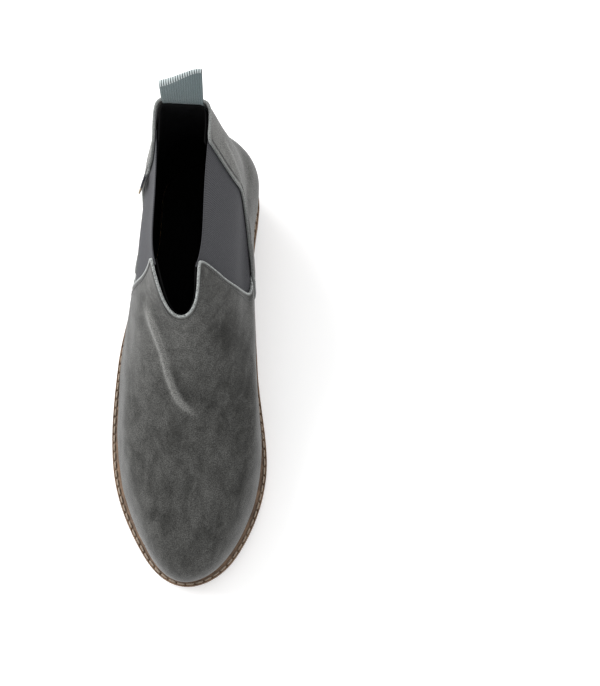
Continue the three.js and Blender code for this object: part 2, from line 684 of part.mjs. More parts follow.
function buildBottom() {
  add("outsole", soleLayer(WELT_WIDTH - OUTSOLE_TRIM, outsoleBottom, outsoleTop), materials.outsole);
  add("cork_filler", soleLayer(-WELT_INSET - LAYER_GAP, weltBottom, weltTop), materials.cork);
  const marginEdge = -LASTING_MARGIN - LAYER_GAP;
  const forefoot = soleLayer(marginEdge, FLOAT, FLOAT + shankThickness, 0, FORE_FILLER_END);
  add("forefoot_filler", forefoot, materials.cork);
  const liningClear = -liningInner - LAYER_GAP;
  add("insole_board", soleLayer(liningClear, insoleBottom, insoleTop), materials.board);
  const sock = soleLayer(liningClear - SOCK_TRIM, insoleTop + LAYER_GAP, sockTop);
  add("sock_liner", sock, materials.lining);
  buildShank();
}

function buildShank() {
  const stations = range(9).map((k) => lerp(SHANK_START, SHANK_END, k / 8));
  const sections = stations.map((distance) => {
    const height = seatCurve(distance, seats) + FLOAT;
    const corner = (x, lift) => new THREE.Vector3(x, distance * lengthScale, height + lift);
    const half = SHANK_WIDTH / 2;
    const [bottom, top] = [0, shankThickness];
    return [corner(half, bottom), corner(half, top), corner(-half, top), corner(-half, bottom)];
  });
  add("shank", loft(sections), materials.steel);
}

// ---------- Heel ----------
const heelHeight = HEEL_SEAT + outsoleBottom - LAYER_GAP;
const liftThickness = (heelHeight - TOP_PIECE_THICKNESS) / LIFT_COUNT - LAYER_GAP;

const HEEL_STEPS = 48;

/** Edge of the heel, stepped in from the outsole's edge, from the breast round the back. */
function heelOutline(inset) {
  const angles = range(HEEL_STEPS + 1).map((k) => degrees(90 + (k * 180) / HEEL_STEPS));
  const edge = angles.map((angle) => featherPoint(angle, WELT_WIDTH - OUTSOLE_TRIM - inset, 0));
  const kept = edge.filter((p) => p.y > HEEL_BREAST * lengthScale + inset);
  return kept.map((p) => new THREE.Vector2(p.x, p.y));
}

const NAIL_SHARES = [0.04, 0.27, 0.5, 0.73, 0.96]; // along the heel's edge, from side to side

/** Nails stand on a smaller copy of the heel's back curve. */
function nailPlaces() {
  const ring = heelOutline(NAIL_INSET);
  return NAIL_SHARES.map((share) => ring[Math.round(share * (ring.length - 1))]);
}

function heelLayer(inset, bottom, top, holeRadius) {
  const shape = new THREE.Shape(heelOutline(inset));
  for (const place of nailPlaces()) {
    const hole = new THREE.Path();
    hole.absarc(place.x, place.y, holeRadius, 0, 2 * Math.PI, true);
    shape.holes.push(hole);
  }
  const geometry = extrude(shape, top - bottom, 5);
  return geometry.translate(0, 0, bottom);
}

function buildHeel() {
  const wide = NAIL_HEAD_RADIUS + NAIL_CLEARANCE;
  const narrow = NAIL_RADIUS + NAIL_CLEARANCE;
  add("heel_top_piece", heelLayer(HEEL_TAPER * LIFT_COUNT, 0, TOP_PIECE_THICKNESS, wide), materials.rubber);
  for (let k = 0; k < LIFT_COUNT; k++) {
    const bottom = TOP_PIECE_THICKNESS + LAYER_GAP + k * (liftThickness + LAYER_GAP);
    const inset = HEEL_TAPER * (LIFT_COUNT - 1 - k);
    add(`heel_lift_${k + 1}`, heelLayer(inset, bottom, bottom + liftThickness, narrow), materials.heel);
  }
  const tip = heelHeight - LAYER_GAP;
  const headTop = NAIL_RECESS + NAIL_HEAD_HEIGHT;
  const profile = [
    [0, NAIL_RECESS],
    [NAIL_HEAD_RADIUS, NAIL_RECESS],
    [NAIL_RADIUS, headTop],
    [NAIL_RADIUS, tip - NAIL_POINT],
    [0, tip],
  ].map(([r, z]) => new THREE.Vector2(r, z));
  nailPlaces().forEach((place, k) => {
    const nail = new THREE.LatheGeometry(profile, 8).rotateX(Math.PI / 2);
    nail.translate(place.x, place.y, 0);
    add(`heel_nail_${k + 1}`, nail, materials.steel);
  });
}

// ---------- Assembly ----------
buildVamp();
buildVampLining();
buildQuarterLining();
buildStiffener("toe_puff", 0, 60, 0.42);
buildStiffener("heel_counter", 180, 52, 0.5);
for (const side of Object.keys(SIDES)) {
  buildQuarter(side);
  buildGore(side);
}
buildVampThreads();
buildQuarterThreads();
buildPullTab();
buildSideTag();
buildWelt();
buildBottom();
buildHeel();

const box = new THREE.Box3().setFromObject(boot);
const centre = box.getCenter(new THREE.Vector3());
boot.position.set(-centre.x, -centre.y, -box.min.z);
const part = new THREE.Group();
part.add(boot);
export default part;
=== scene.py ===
"""Looks for a right-foot suede chelsea boot: millimetres inside, metres in Blender, the CAD model's frame."""
import math

import bmesh
import bpy
import numpy as np
from mathutils import Matrix, Vector


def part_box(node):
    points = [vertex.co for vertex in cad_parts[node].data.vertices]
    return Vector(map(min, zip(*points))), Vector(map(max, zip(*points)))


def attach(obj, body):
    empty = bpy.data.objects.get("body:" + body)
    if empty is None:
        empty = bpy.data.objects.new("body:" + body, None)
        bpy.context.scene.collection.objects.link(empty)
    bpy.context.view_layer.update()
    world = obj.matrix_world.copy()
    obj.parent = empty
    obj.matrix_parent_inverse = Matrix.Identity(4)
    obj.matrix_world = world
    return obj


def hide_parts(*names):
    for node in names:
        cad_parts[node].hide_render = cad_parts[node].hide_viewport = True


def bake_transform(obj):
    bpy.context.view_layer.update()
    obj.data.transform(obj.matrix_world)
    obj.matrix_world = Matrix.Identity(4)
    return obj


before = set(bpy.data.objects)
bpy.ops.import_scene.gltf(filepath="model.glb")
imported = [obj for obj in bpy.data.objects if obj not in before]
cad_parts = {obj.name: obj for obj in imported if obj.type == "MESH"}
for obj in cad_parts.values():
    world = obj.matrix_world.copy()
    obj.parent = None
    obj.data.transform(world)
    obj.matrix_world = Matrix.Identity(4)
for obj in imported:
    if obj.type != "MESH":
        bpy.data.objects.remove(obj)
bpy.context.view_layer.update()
MM = 0.001

# ---------- Sizes shared with the CAD model, mm ----------
SUEDE = 1.6
LINING_DEPTH = 3.4
LINING = 1.0
GORE_DEPTH = 1.9
GORE = 0.8
LAP_CLEARANCE = 0.5
LAP_ANGLE = 5
WELT_WIDTH = 4.6
WELT_BOTTOM = -3.3
SOLE_TOP = -3.6
SOLE_BOTTOM = -8.5
SOLE_EDGE = 4.2  # how far the outsole stands out from the feather line
TOP_PIECE = 6
LIFT_COUNT = 3
HEEL_HEIGHT = 24.2
HEEL_BREAST = 232  # from the toe
HEEL_TAPER = 0.6  # each heel layer steps in by this
NAIL_COUNT = 5
NAIL_INSET = 13
TAB_WIDTH = 25
TAG_LENGTH = 7.5
TAG_HEIGHT = 14
TAG_SPREAD = 18  # degrees between the tag and the gore
TAG_LEVEL = 0.785

# ---------- Shape of the last, as in the CAD model ----------
HALF_WIDTHS = np.array([3, 32.2, 48.8, 39.3, 33, 32.5, 0, -30, -34, -49.4, -47.5, -24.4])
# front distance, front rise, back distance, back rise, toe scale, heel scale, oval, half width, lean,
# level, medial waist, lateral waist, square front, square back, flat back
RINGS = np.array([
    [6, 0, 300, 0, 1, 1, 0, 45, 0, 0, 0, 0, 0.05, 0.05, 0],
    [2, 12, 304.5, 14, 0.96, 1.13, 0, 45, 0, 0, 2.5, 0.5, 0.05, 0.05, 0],
    [6, 29, 307, 30, 0.91, 1.11, 0, 42, 0, 0, 2.5, 3, 0.05, 0.05, 0],
    [24, 44, 306.5, 46, 0.88, 1.04, 0.15, 38, 0, 0.1, 4, 1.6, 0.05, 0.05, 0],
    [66, 55, 304, 66, 0.8, 1.03, 0.45, 36.3, -0.3, 0.5, 2.5, 0, 0.05, 0.08, 0],
    [112, 76, 298, 91, 0.7, 1, 0.8, 37, -2.3, 1, 0, -1.6, 0.05, 0.1, 0],
    [147, 97, 290.5, 115, 0.7, 1, 1, 35.5, -3.4, 1, 0, -0.5, 0.05, 0.12, 0.03],
    [163, 122, 287, 140, 0.7, 1, 1, 26, -4.6, 1, 0, 0.8, 0.05, 0.14, 0.07],
    [172.5, 144.5, 285.5, 167, 0.7, 1, 1, 18.5, -8.3, 1, 0, 0, 0.09, 0.2, 0.12],
])
BALL_SEAT, HEEL_SEAT, TOE_SPRING = 8.5, 33, 9
BALL_AT, TREAD_FLAT = 106, 12
VAMP_EDGE = np.array([
    [0, 0.853], [9.5, 0.862], [19, 0.889], [28, 0.931], [36, 0.967], [44, 0.985], [49, 0.96], [54, 0.892],
    [59, 0.818], [66, 0.75], [83, 0.605], [95, 0.48], [102, 0.415], [108, 0.385], [125, 0.385],
])
QUARTER_EDGE = np.array([
    [0, 107], [0.2, 107], [0.34, 106], [0.43, 103.5], [0.48, 107], [0.55, 112.5], [0.63, 116], [0.72, 116],
    [0.82, 113.5], [1, 114.5],
])
GORE_TOP = 0.985
SIDE_SEAM_LEVEL = 0.3
PEAK_ANGLE = 44


def smooth(t):
    u = np.clip(t, 0, 1)
    return u * u * (3 - 2 * u)


def lerp(a, b, t):
    return a + (b - a) * t


def seat(distance):
    """Height of the feather line at a distance from the toe."""
    distance = np.asarray(distance, float)
    tread_start, tread_end = BALL_AT - TREAD_FLAT, BALL_AT + TREAD_FLAT
    toe = BALL_SEAT + TOE_SPRING * ((tread_start - distance) / tread_start) ** 2
    arch = BALL_SEAT + (HEEL_SEAT - BALL_SEAT) * smooth((distance - tread_end) / (HEEL_BREAST - tread_end))
    return np.where(distance < tread_start, toe, arch)


def sole_half_width(angle):
    """Half width of the sole, on a smooth curve through HALF_WIDTHS every 30 degrees."""
    t = np.mod(angle / (math.pi / 6), 12)
    i = np.floor(t).astype(int)
    u = t - i
    a, b, c, d = (HALF_WIDTHS[(i + k) % 12] for k in (-1, 0, 1, 2))
    return 0.5 * (2 * b + (c - a) * u + (2 * a - 5 * b + 4 * c - d) * u**2 + (3 * b - 3 * c + d - a) * u**3)


def ring_point(ring, angle):
    """A point of one ring, from its row of RINGS."""
    f, fr, b, br, toe, heel, oval_share, half, lean = (ring[..., k] for k in range(9))
    level, wm, wl, sq_f, sq_b, flat = (ring[..., k] for k in range(9, 15))
    ease = smooth((1 - np.cos(angle)) / 2)
    flat = flat * ease
    along = (1 - (np.cos(angle) - flat * np.cos(3 * angle)) / (1 - flat)) / 2
    square = lerp(sq_f, sq_b, ease)
    sine = np.sin(angle)
    oval = half * (sine + square * np.sin(3 * angle)) / np.sqrt(1 - square)
    foot = sole_half_width(angle) * lerp(toe, heel, ease)
    waist = np.where(sine > 0, wm, wl) * sine**4
    distance = lerp(f, b, along)
    height = lerp(fr, br, along) - level * seat(distance)
    x = (1 - oval_share) * foot + oval_share * oval + lean + waist
    return np.stack([x, distance, seat(distance) + height], -1)


def upper(angle, level):
    """Outside of the upper. angle is in degrees from the toe, over the medial side; level is 0 to 1."""
    angle, level = np.broadcast_arrays(np.radians(angle), np.asarray(level, float))
    last = len(RINGS) - 1
    i = np.clip(np.floor(level * last).astype(int), 0, last - 1)
    u = level * last - i
    table = np.vstack([RINGS[:1], RINGS, RINGS[-1:]])
    weights = [(1 - u) ** 3 / 6, (3 * u**3 - 6 * u**2 + 4) / 6, (3 * (u + u**2 - u**3) + 1) / 6, u**3 / 6]
    total = 0
    for k, weight in enumerate(weights):
        row = i + k
        point = ring_point(table[row], angle)
        low = row == 0
        high = row == last + 2
        mirror = ring_point(RINGS[np.where(low, 1, last - 1)], angle)
        point = np.where((low | high)[..., None], 2 * point - mirror, point)
        total = total + weight[..., None] * point
    return total


def unit(v):
    return v / np.maximum(np.linalg.norm(v, axis=-1, keepdims=True), 1e-9)


def upper_normal(angle, level):
    step = 0.05
    across = upper(angle + step, level) - upper(angle - step, level)
    up = upper(angle, level + 1e-3) - upper(angle, level - 1e-3)
    return unit(np.cross(across, up))


def layer(angle, level, depth):
    """Points at a depth under the outside of the upper."""
    depth = np.asarray(depth, float)
    return upper(angle, level) - upper_normal(angle, level) * (depth[..., None] if depth.ndim else depth)


def feather(angle, out, lift):
    """Points moved out from the feather line in the ground plane, `lift` above the seat curve there."""
    angle, out, lift = np.broadcast_arrays(np.asarray(angle, float), out, lift)
    normal = upper_normal(angle, 0.0) * np.array([1, 1, 0])
    point = upper(angle, 0.0) + unit(normal) * out[..., None]
    point[..., 2] = seat(point[..., 1]) + lift
    return point


def along_line(line, x):
    """Value of a pattern line at x, smoothed between its points and level at its start."""
    xs, ys = line[:, 0], line[:, 1]
    slope = np.empty(len(xs))
    slope[1:-1] = (ys[2:] - ys[:-2]) / (xs[2:] - xs[:-2])
    slope[0] = 0
    slope[-1] = (ys[-1] - ys[-2]) / (xs[-1] - xs[-2])
    x = np.clip(x, xs[0], xs[-1])
    i = np.clip(np.searchsorted(xs, x, side="right") - 1, 0, len(xs) - 2)
    width = xs[i + 1] - xs[i]
    u = (x - xs[i]) / width
    ends = ys[i] + (ys[i + 1] - ys[i]) * u * u * (3 - 2 * u)
    return ends + width * (u * (1 - u) ** 2 * slope[i] + u * u * (u - 1) * slope[i + 1])


def vamp_top(angle):
    return along_line(VAMP_EDGE, np.abs(angle))


def quarter_front(level):
    return along_line(QUARTER_EDGE, level)


def gore_front(level):
    """Angle of the vamp's edge beside the gore at a level."""
    low, high = np.full(np.shape(level), float(PEAK_ANGLE)), np.full(np.shape(level), 108.0)
    for _ in range(30):
        middle = (low + high) / 2
        above = vamp_top(middle) > level
        low, high = np.where(above, middle, low), np.where(above, high, middle)
    return low


def lap_rise(beyond_edge, level):
    """How far the quarter stands out where it laps over the vamp, beyond its front edge in degrees."""
    fade_back = 1 - smooth((beyond_edge - LAP_ANGLE - 1.5) / 6)
    fade_up = 1 - smooth((level - 0.45) / 0.06)
    return (SUEDE + LAP_CLEARANCE) * fade_back * fade_up


def find_shift():
    """Moves the drawn last to the CAD model's place, from the welt's box."""
    ring = feather(np.arange(48) * 7.5, WELT_WIDTH, WELT_BOTTOM)
    low, high = (np.array(c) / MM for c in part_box("welt"))
    middle = (low + high) / 2 - (ring.min(0) + ring.max(0)) / 2
    return np.array([middle[0], middle[1], 0])


SHIFT = find_shift()


# ---------- Mesh helpers ----------
def close_seams(mesh, reach):
    """Joins points closer than reach, in metres, and turns every face outwards."""
    shape = bmesh.new()
    shape.from_mesh(mesh)
    bmesh.ops.remove_doubles(shape, verts=shape.verts, dist=reach)
    bmesh.ops.recalc_face_normals(shape, faces=shape.faces)
    shape.to_mesh(mesh)
    shape.free()


def add_object(name, data):
    thing = bpy.data.objects.new(name, data)
    bpy.context.scene.collection.objects.link(thing)
    return thing


def add_piece(name, mesh, material, hides, body="boot"):
    """An object that rides on a body and stands for CAD nodes."""
    mesh.materials.append(material)
    piece = add_object(name, mesh)
    if body:
        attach(piece, body)
    if hides:
        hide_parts(*hides)
    return piece


def make_piece(name, points, faces, material, slot, body="boot", hides=(), uv=None, fields=None):
    """A mesh piece from points in drawn millimetres, riding on a body and standing for CAD nodes."""
    mesh = bpy.data.meshes.new(name)
    mesh.from_pydata(((points + SHIFT) * MM).tolist(), [], faces)
    for key, values in (fields or {}).items():
        attribute = mesh.attributes.new(key, "FLOAT", "POINT")
        attribute.data.foreach_set("value", np.ravel(values).astype(np.float32))
    if uv is not None:
        layer_uv = mesh.uv_layers.new(name="UVMap")
        corner = np.empty(len(mesh.loops), dtype=np.int32)
        mesh.loops.foreach_get("vertex_index", corner)
        layer_uv.data.foreach_set("uv", uv[corner].ravel().astype(np.float32))
    close_seams(mesh, 1e-7)
    mesh.shade_smooth()
    return add_piece(name, mesh, material, hides, body)


def grid_faces(columns, rows, start=0, flip=False):
    """Quads between neighbouring columns of a grid whose points are stored column by column."""
    faces = []
    for i in range(columns - 1):
        here, there = start + i * rows, start + (i + 1) * rows
        for j in range(rows - 1):
            quad = (here + j, there + j, there + j + 1, here + j + 1)
            faces.append(quad[::-1] if flip else quad)
    return faces


def rim_indices(columns, rows):
    """The grid points round the rim of a grid, in order."""
    bottom = [i * rows for i in range(columns)]
    right = [(columns - 1) * rows + j for j in range(1, rows)]
    top = [i * rows + rows - 1 for i in range(columns - 2, -1, -1)]
    left = [j for j in range(rows - 2, 0, -1)]
    return bottom + right + top + left


def rim_directions(grid):
    """Directions out of a grid's rim, in the sheet's own surface."""
    out = np.zeros_like(grid)
    out[0] += unit(grid[0] - grid[1])
    out[-1] += unit(grid[-1] - grid[-2])
    out[:, 0] += unit(grid[:, 0] - grid[:, 1])
    out[:, -1] += unit(grid[:, -1] - grid[:, -2])
    return unit(out)


EDGE_STEPS = 4
EDGE_ROUND = 0.8


def thick_sheet(outer, inner):
    """A closed sheet between two grids with a rounded edge: its points, faces and each point's grid point."""
    columns, rows = outer.shape[:2]
    count = columns * rows
    rim = np.array(rim_indices(columns, rows))
    top, bottom = outer.reshape(-1, 3), inner.reshape(-1, 3)
    out = rim_directions(outer).reshape(-1, 3)[rim]
    middle = (top[rim] + bottom[rim]) / 2
    half = top[rim] - middle
    thickness = np.linalg.norm(half, axis=-1, keepdims=True)
    rings = []
    for k in range(1, EDGE_STEPS):
        turn = math.pi * k / EDGE_STEPS
        rings.append(middle + half * math.cos(turn) + out * thickness * EDGE_ROUND * math.sin(turn))
    points = np.concatenate([top, bottom, *rings])
    faces = grid_faces(columns, rows) + grid_faces(columns, rows, count, flip=True)
    between = [2 * count + k * len(rim) + np.arange(len(rim)) for k in range(EDGE_STEPS - 1)]
    loops = [rim, *between, rim + count]
    for a, b in zip(loops[:-1], loops[1:]):
        for k in range(len(rim)):
            m = (k + 1) % len(rim)
            faces.append((int(a[k]), int(b[k]), int(b[m]), int(a[m])))
    source = np.concatenate([np.arange(count), np.arange(count)] + [rim] * (EDGE_STEPS - 1))
    return points, faces, source


def sheet_piece(name, outer, inner, material, slot, hides=(), fields=None, uv=None, body="boot"):
    """A closed sheet as a piece; fields and uv are given on the grid and carried round the edge."""
    points, faces, source = thick_sheet(outer, inner)
    carried = {key: np.ravel(values)[source] for key, values in (fields or {}).items()}
    uv_points = None if uv is None else uv.reshape(-1, 2)[source]
    return make_piece(name, points, faces, material, slot, body, hides, uv_points, carried)


def ring_loft(sections, closed=True):
    """Points and faces of a tube through sections of the same size, closed round or with flat ends."""
    count, size = sections.shape[:2]
    faces = []
    for i in range(count if closed else count - 1):
        here, there = i * size, ((i + 1) % count) * size
        for k in range(size):
            m = (k + 1) % size
            faces.append((here + k, there + k, there + m, here + m))
    if not closed:
        faces.append(tuple(range(size)))
        faces.append(tuple(range((count - 1) * size, count * size))[::-1])
    return sections.reshape(-1, 3), faces


def separate_lofts(tubes):
    """Points and faces of several tubes with flat ends."""
    points, faces = [], []
    for sections in tubes:
        tube, tube_faces = ring_loft(sections, closed=False)
        base = len(points) * len(tube)
        points.append(tube)
        faces.extend(tuple(base + v for v in face) for face in tube_faces)
    return np.concatenate(points), faces


def arc_length(path):
    return np.concatenate([[0], np.cumsum(np.linalg.norm(np.diff(path, axis=0), axis=-1))])


def distance_to_path(points, path):
    """Distance from each point to a polyline, the share along it, and the side it lies on."""
    flat = points.reshape(-1, points.shape[-1])
    nearest = np.empty(len(flat), int)
    for start in range(0, len(flat), 4000):
        block = flat[start:start + 4000, None] - path[None]
        nearest[start:start + 4000] = (block**2).sum(-1).argmin(1)
    offset = flat - path[nearest]
    tangent = np.gradient(path, axis=0)[nearest]
    side = np.sign(tangent[:, 0] * offset[:, 1] - tangent[:, 1] * offset[:, 0])
    shape = points.shape[:-1]
    gap = np.linalg.norm(offset, axis=-1).reshape(shape)
    return gap, (nearest / (len(path) - 1)).reshape(shape), side.reshape(shape)


def curve_through(points, count=80):
    """A smooth open curve through a few points."""
    points = np.asarray(points, float)
    ends = np.vstack([2 * points[0] - points[1], points, 2 * points[-1] - points[-2]])
    t = np.linspace(0, len(points) - 1, count)
    i = np.clip(t.astype(int), 0, len(points) - 2)
    u = (t - i)[:, None]
    a, b, c, d = (ends[i + k] for k in range(4))
    return 0.5 * (2 * b + (c - a) * u + (2 * a - 5 * b + 4 * c - d) * u**2 + (3 * b - 3 * c + d - a) * u**3)


def stitch_row(name, path, normals, pitch, radius, material, slot, hides, fill=0.82, closed=False,
               sink=0.25):
    """Separate stitches along a path, each a short thread that dives into the leather at both ends."""
    track = np.vstack([path, path[:1]]) if closed else path
    outward = np.vstack([normals, normals[:1]]) if closed else normals
    lengths = arc_length(track)
    total = lengths[-1]
    count = max(2, round(total / pitch))
    step = total / count
    along, around = 9, 8
    share = np.linspace(-1, 1, along)
    girth = radius * np.sqrt(np.maximum(1 - share**6, 0.02))[:, None, None]
    rise = (radius * (1 - sink) * (1 - share**4) - radius * sink * share**4)[:, None, None]
    turn = (2 * math.pi * np.arange(around) / around)[None, :, None]
    stitches = []

    def place(s):
        s = np.mod(s, total) if closed else np.clip(s, 0, total)
        at = np.stack([np.interp(s, lengths, track[:, k]) for k in range(3)], -1)
        up = unit(np.stack([np.interp(s, lengths, outward[:, k]) for k in range(3)], -1))
        return at, up

    for n in range(count):
        at, up = place((n + 0.5) * step + share * fill * step / 2)
        side = unit(np.cross(up, unit(np.gradient(at, axis=0))))
        stitch = at[:, None] + up[:, None] * (rise + girth * np.sin(turn))
        stitches.append(stitch + side[:, None] * girth * np.cos(turn))
    return make_piece(name, *separate_lofts(stitches), material, slot, hides=hides)


# ---------- Materials ----------
class Shader:
    """A material's node tree, with a short call for each kind of node used here."""

    def __init__(self, name, roughness=0.8, **sockets):
        self.material = bpy.data.materials.new(name)
        self.material.use_nodes = True
        self.tree = self.material.node_tree
        self.surface = self.tree.nodes["Principled BSDF"]
        self.surface.inputs["Roughness"].default_value = roughness
        for key, value in sockets.items():
            self.surface.inputs[key.replace("_", " ")].default_value = value
        self.coordinates = self.tree.nodes.new("ShaderNodeTexCoord")
        self.place = self.coordinates.outputs["Object"]
        self.height = None

    def link(self, value, socket):
        if isinstance(value, bpy.types.NodeSocket):
            self.tree.links.new(value, socket)
        else:
            socket.default_value = value

    def node(self, kind, **inputs):
        """A new node with its inputs set or linked."""
        node = self.tree.nodes.new("ShaderNode" + kind)
        for key, value in inputs.items():
            self.link(value, node.inputs[key.replace("_", " ")])
        return node

    def noise(self, scale, detail=3.0, roughness=0.6, distortion=0.0, vector=None):
        node = self.node("TexNoise", Vector=vector or self.place, Scale=scale, Detail=detail,
                         Roughness=roughness, Distortion=distortion)
        return node.outputs["Fac"]

    def voronoi(self, scale):
        return self.node("TexVoronoi", Vector=self.place, Scale=scale).outputs["Distance"]

    def stretched(self, scale):
        return self.node("Mapping", Vector=self.place, Scale=scale).outputs["Vector"]

    def wave(self, scale, axis, distortion):
        """Bands across the UV map, which is in millimetres."""
        uv = self.coordinates.outputs["UV"]
        node = self.node("TexWave", Vector=uv, Scale=scale, Distortion=distortion)
        node.bands_direction = axis
        return node.outputs["Fac"]

    def field(self, name):
        """A mesh attribute written by make_piece."""
        node = self.node("Attribute")
        node.attribute_name = name
        return node.outputs["Fac"]

    def ramp(self, value, low=0.3, high=0.7, to_low=0.0, to_high=1.0):
        node = self.node("MapRange", Value=value, From_Min=low, From_Max=high, To_Min=to_low, To_Max=to_high)
        node.interpolation_type = "SMOOTHSTEP"
        return node.outputs["Result"]

    def math(self, operation, a, b=0.0):
        node = self.node("Math")
        node.operation = operation
        self.link(a, node.inputs[0])
        self.link(b, node.inputs[1])
        return node.outputs[0]

    def grain(self, base, height, low, high):
        """Darkens and lightens a colour by a height between the factors low and high."""
        return self.mix(1.0, base, self.mix(height, (low,) * 3, (high,) * 3), "MULTIPLY")

    def mix(self, share, a, b, blend="MIX"):
        node = self.node("Mix")
        node.data_type = "RGBA"
        node.blend_type = blend
        self.link(share, node.inputs["Factor"])
        for value, socket in ((a, node.inputs[6]), (b, node.inputs[7])):
            self.link((*value, 1) if isinstance(value, tuple) else value, socket)
        return node.outputs[2]

    def color(self, value):
        self.link(value, self.surface.inputs["Base Color"])

    def rough(self, value):
        self.link(value, self.surface.inputs["Roughness"])

    def bump(self, height, strength, distance):
        """Adds a layer of bump; distance is its depth in millimetres."""
        node = self.node("Bump", Height=height, Strength=strength, Distance=distance * MM)
        if self.height is not None:
            self.link(self.height, node.inputs["Normal"])
        self.height = node.outputs["Normal"]
        self.link(self.height, self.surface.inputs["Normal"])


def suede_material():
    """Grey napped leather: brushed patches, fine fibres, a paler raw edge, painted shade along the stitch
    groove, and the painted highlights and shade carried in the pieces' tone field.
    """
    s = Shader("suede", 0.95, Sheen_Weight=0.33, Sheen_Roughness=0.42, Specular_IOR_Level=0.05)
    s.surface.inputs["Sheen Tint"].default_value = (0.90, 0.90, 0.90, 1)
    patches = s.noise(26, 3, 0.5, 0.6)
    strokes = s.noise(150, 4, 0.6, 0.5, s.stretched((1.0, 0.45, 1.0)))
    nap = s.noise(1700, 2)
    fibres = s.noise(3600, 2, 0.6, 0.4)
    tone_and_painted_light = s.math("ADD", s.ramp(patches, to_high=0.16), s.ramp(strokes, to_high=0.24))
    # the tone field adds the pieces' painted highlights and painted shade
    tone_and_painted_light = s.math("ADD", tone_and_painted_light, s.field("tone_and_painted_light"))
    base = s.mix(tone_and_painted_light, (0.026, 0.026, 0.0245), (0.134, 0.134, 0.129))
    base = s.grain(base, s.ramp(nap), 0.52, 1.62)
    fine = s.mix(s.ramp(fibres, 0.3, 0.68), (0.74, 0.74, 0.73), (1.26, 1.26, 1.26))
    base = s.mix(1.0, base, fine, "MULTIPLY")
    fray = s.math("ADD", s.field("edge"), s.ramp(nap, 0.3, 0.7, -0.55, 0.55))
    pale = s.ramp(fray, 0.35, 1.45, 1.0, 0.0)
    speck = s.mix(s.ramp(nap, 0.38, 0.62), (0.12, 0.127, 0.124), (0.60, 0.63, 0.62))
    # painted shade: the suede is darkened in the stitch groove, 1.6 to 3 mm in from the edge
    rise, fall = s.ramp(s.field("edge"), 1.6, 2.1), s.ramp(s.field("edge"), 2.4, 3.0, 1.0, 0.0)
    groove_shade = s.math("MULTIPLY", rise, fall)
    base = s.mix(s.math("MULTIPLY", groove_shade, 0.5), base, (0.020, 0.020, 0.019))
    s.color(s.mix(s.math("MULTIPLY", pale, 0.8), base, speck))
    s.bump(strokes, 0.25, 0.3)
    s.bump(nap, 0.6, 0.22)
    s.bump(fibres, 0.5, 0.10)
    return s.material


def elastic_material():
    """Ribbed elastic webbing: upright cords crossed by fine weft, dark grey with a cool cast."""
    s = Shader("gore_elastic", 0.95, Sheen_Weight=0.06, Sheen_Roughness=0.4, Specular_IOR_Level=0.1)
    ribs = s.wave(0.31, "X", 0.15)
    weft = s.wave(0.62, "Y", 0.3)
    fuzz = s.noise(1900)
    blotch = s.noise(60, 3, 0.5)
    # painted shade: the elastic is darker in the troughs between the ribs
    base = s.mix(s.ramp(ribs, 0.1, 0.8), (0.028, 0.028, 0.031), (0.058, 0.059, 0.065))
    base = s.mix(s.ramp(fuzz, to_high=0.55), base, (0.080, 0.081, 0.087))
    base = s.mix(s.ramp(blotch, 0.35, 0.7, 0.0, 0.25), base, (0.05, 0.05, 0.054))
    s.color(base)
    s.bump(ribs, 0.45, 0.22)
    s.bump(weft, 0.25, 0.10)
    s.bump(fuzz, 0.4, 0.08)
    return s.material


def webbing_material():
    """Blue-grey ribbed webbing, with painted shade between the cords and, along the fold, a pale painted
    highlight on the cords with dark painted shade between them.
    """
    s = Shader("tab_webbing", 0.88, Sheen_Weight=0.3, Sheen_Roughness=0.5, Specular_IOR_Level=0.2)
    weave = s.wave(0.9, "Y", 0.4)
    fuzz = s.noise(2400)
    height = s.field("rib")
    # painted shade: the webbing is darker between the cords
    base = s.mix(s.ramp(height, 0.0, 0.9), (0.066, 0.096, 0.102), (0.108, 0.150, 0.158))
    base = s.mix(s.ramp(fuzz, to_high=0.4), base, (0.15, 0.20, 0.205))
    # painted highlight on the cords and painted shade between them, along the fold
    fold_highlight_and_shade = s.mix(s.ramp(height), (0.03, 0.04, 0.045), (0.62, 0.68, 0.68))
    base = s.mix(s.ramp(s.field("fold"), 0.25, 1.0, 0.0, 0.75), base, fold_highlight_and_shade)
    s.color(base)
    s.bump(weave, 0.5, 0.15)
    s.bump(fuzz, 0.4, 0.07)
    return s.material


def lining_material():
    """Black pigskin lining, near-pure black: the lining's own black with painted shade for the dark inside of
    the boot; pored, slightly creased.
    """
    s = Shader("lining_leather", 0.8, Specular_IOR_Level=0.08)
    pores = s.voronoi(900)
    creases = s.noise(160, 5, 0.6, 0.6)
    # near-black, darker than leather's own black: painted shade for the inside of the boot
    s.color(s.mix(s.ramp(creases), (0.0022, 0.0022, 0.0024), (0.0050, 0.0050, 0.0054)))
    s.rough(s.ramp(creases, 0.3, 0.7, 0.75, 0.95))
    s.bump(pores, 0.35, 0.12)
    s.bump(creases, 0.3, 0.25)
    return s.material


def leather_material(name, dark, light, roughness, streak=(1.0, 1.0, 1.0)):
    """Finished sole leather: waxed grain, darker burnish, rubbed edges."""
    s = Shader(name, roughness, Specular_IOR_Level=0.35)
    mottling = s.noise(70, 5, 0.6, 0.5, s.stretched(streak))
    grain = s.voronoi(1100)
    fine = s.noise(2200)
    rub = s.noise(230, 4, 0.65)
    base = s.mix(s.ramp(mottling, 0.28, 0.72), dark, light)
    base = s.mix(s.ramp(rub, 0.60, 0.74, 0.0, 0.4), base, (0.2, 0.13, 0.08))
    s.color(s.grain(base, s.ramp(fine), 0.82, 1.12))
    s.rough(s.ramp(mottling, 0.3, 0.7, roughness - 0.1, roughness + 0.15))
    s.bump(grain, 0.3, 0.10)
    s.bump(fine, 0.3, 0.05)
    return s.material


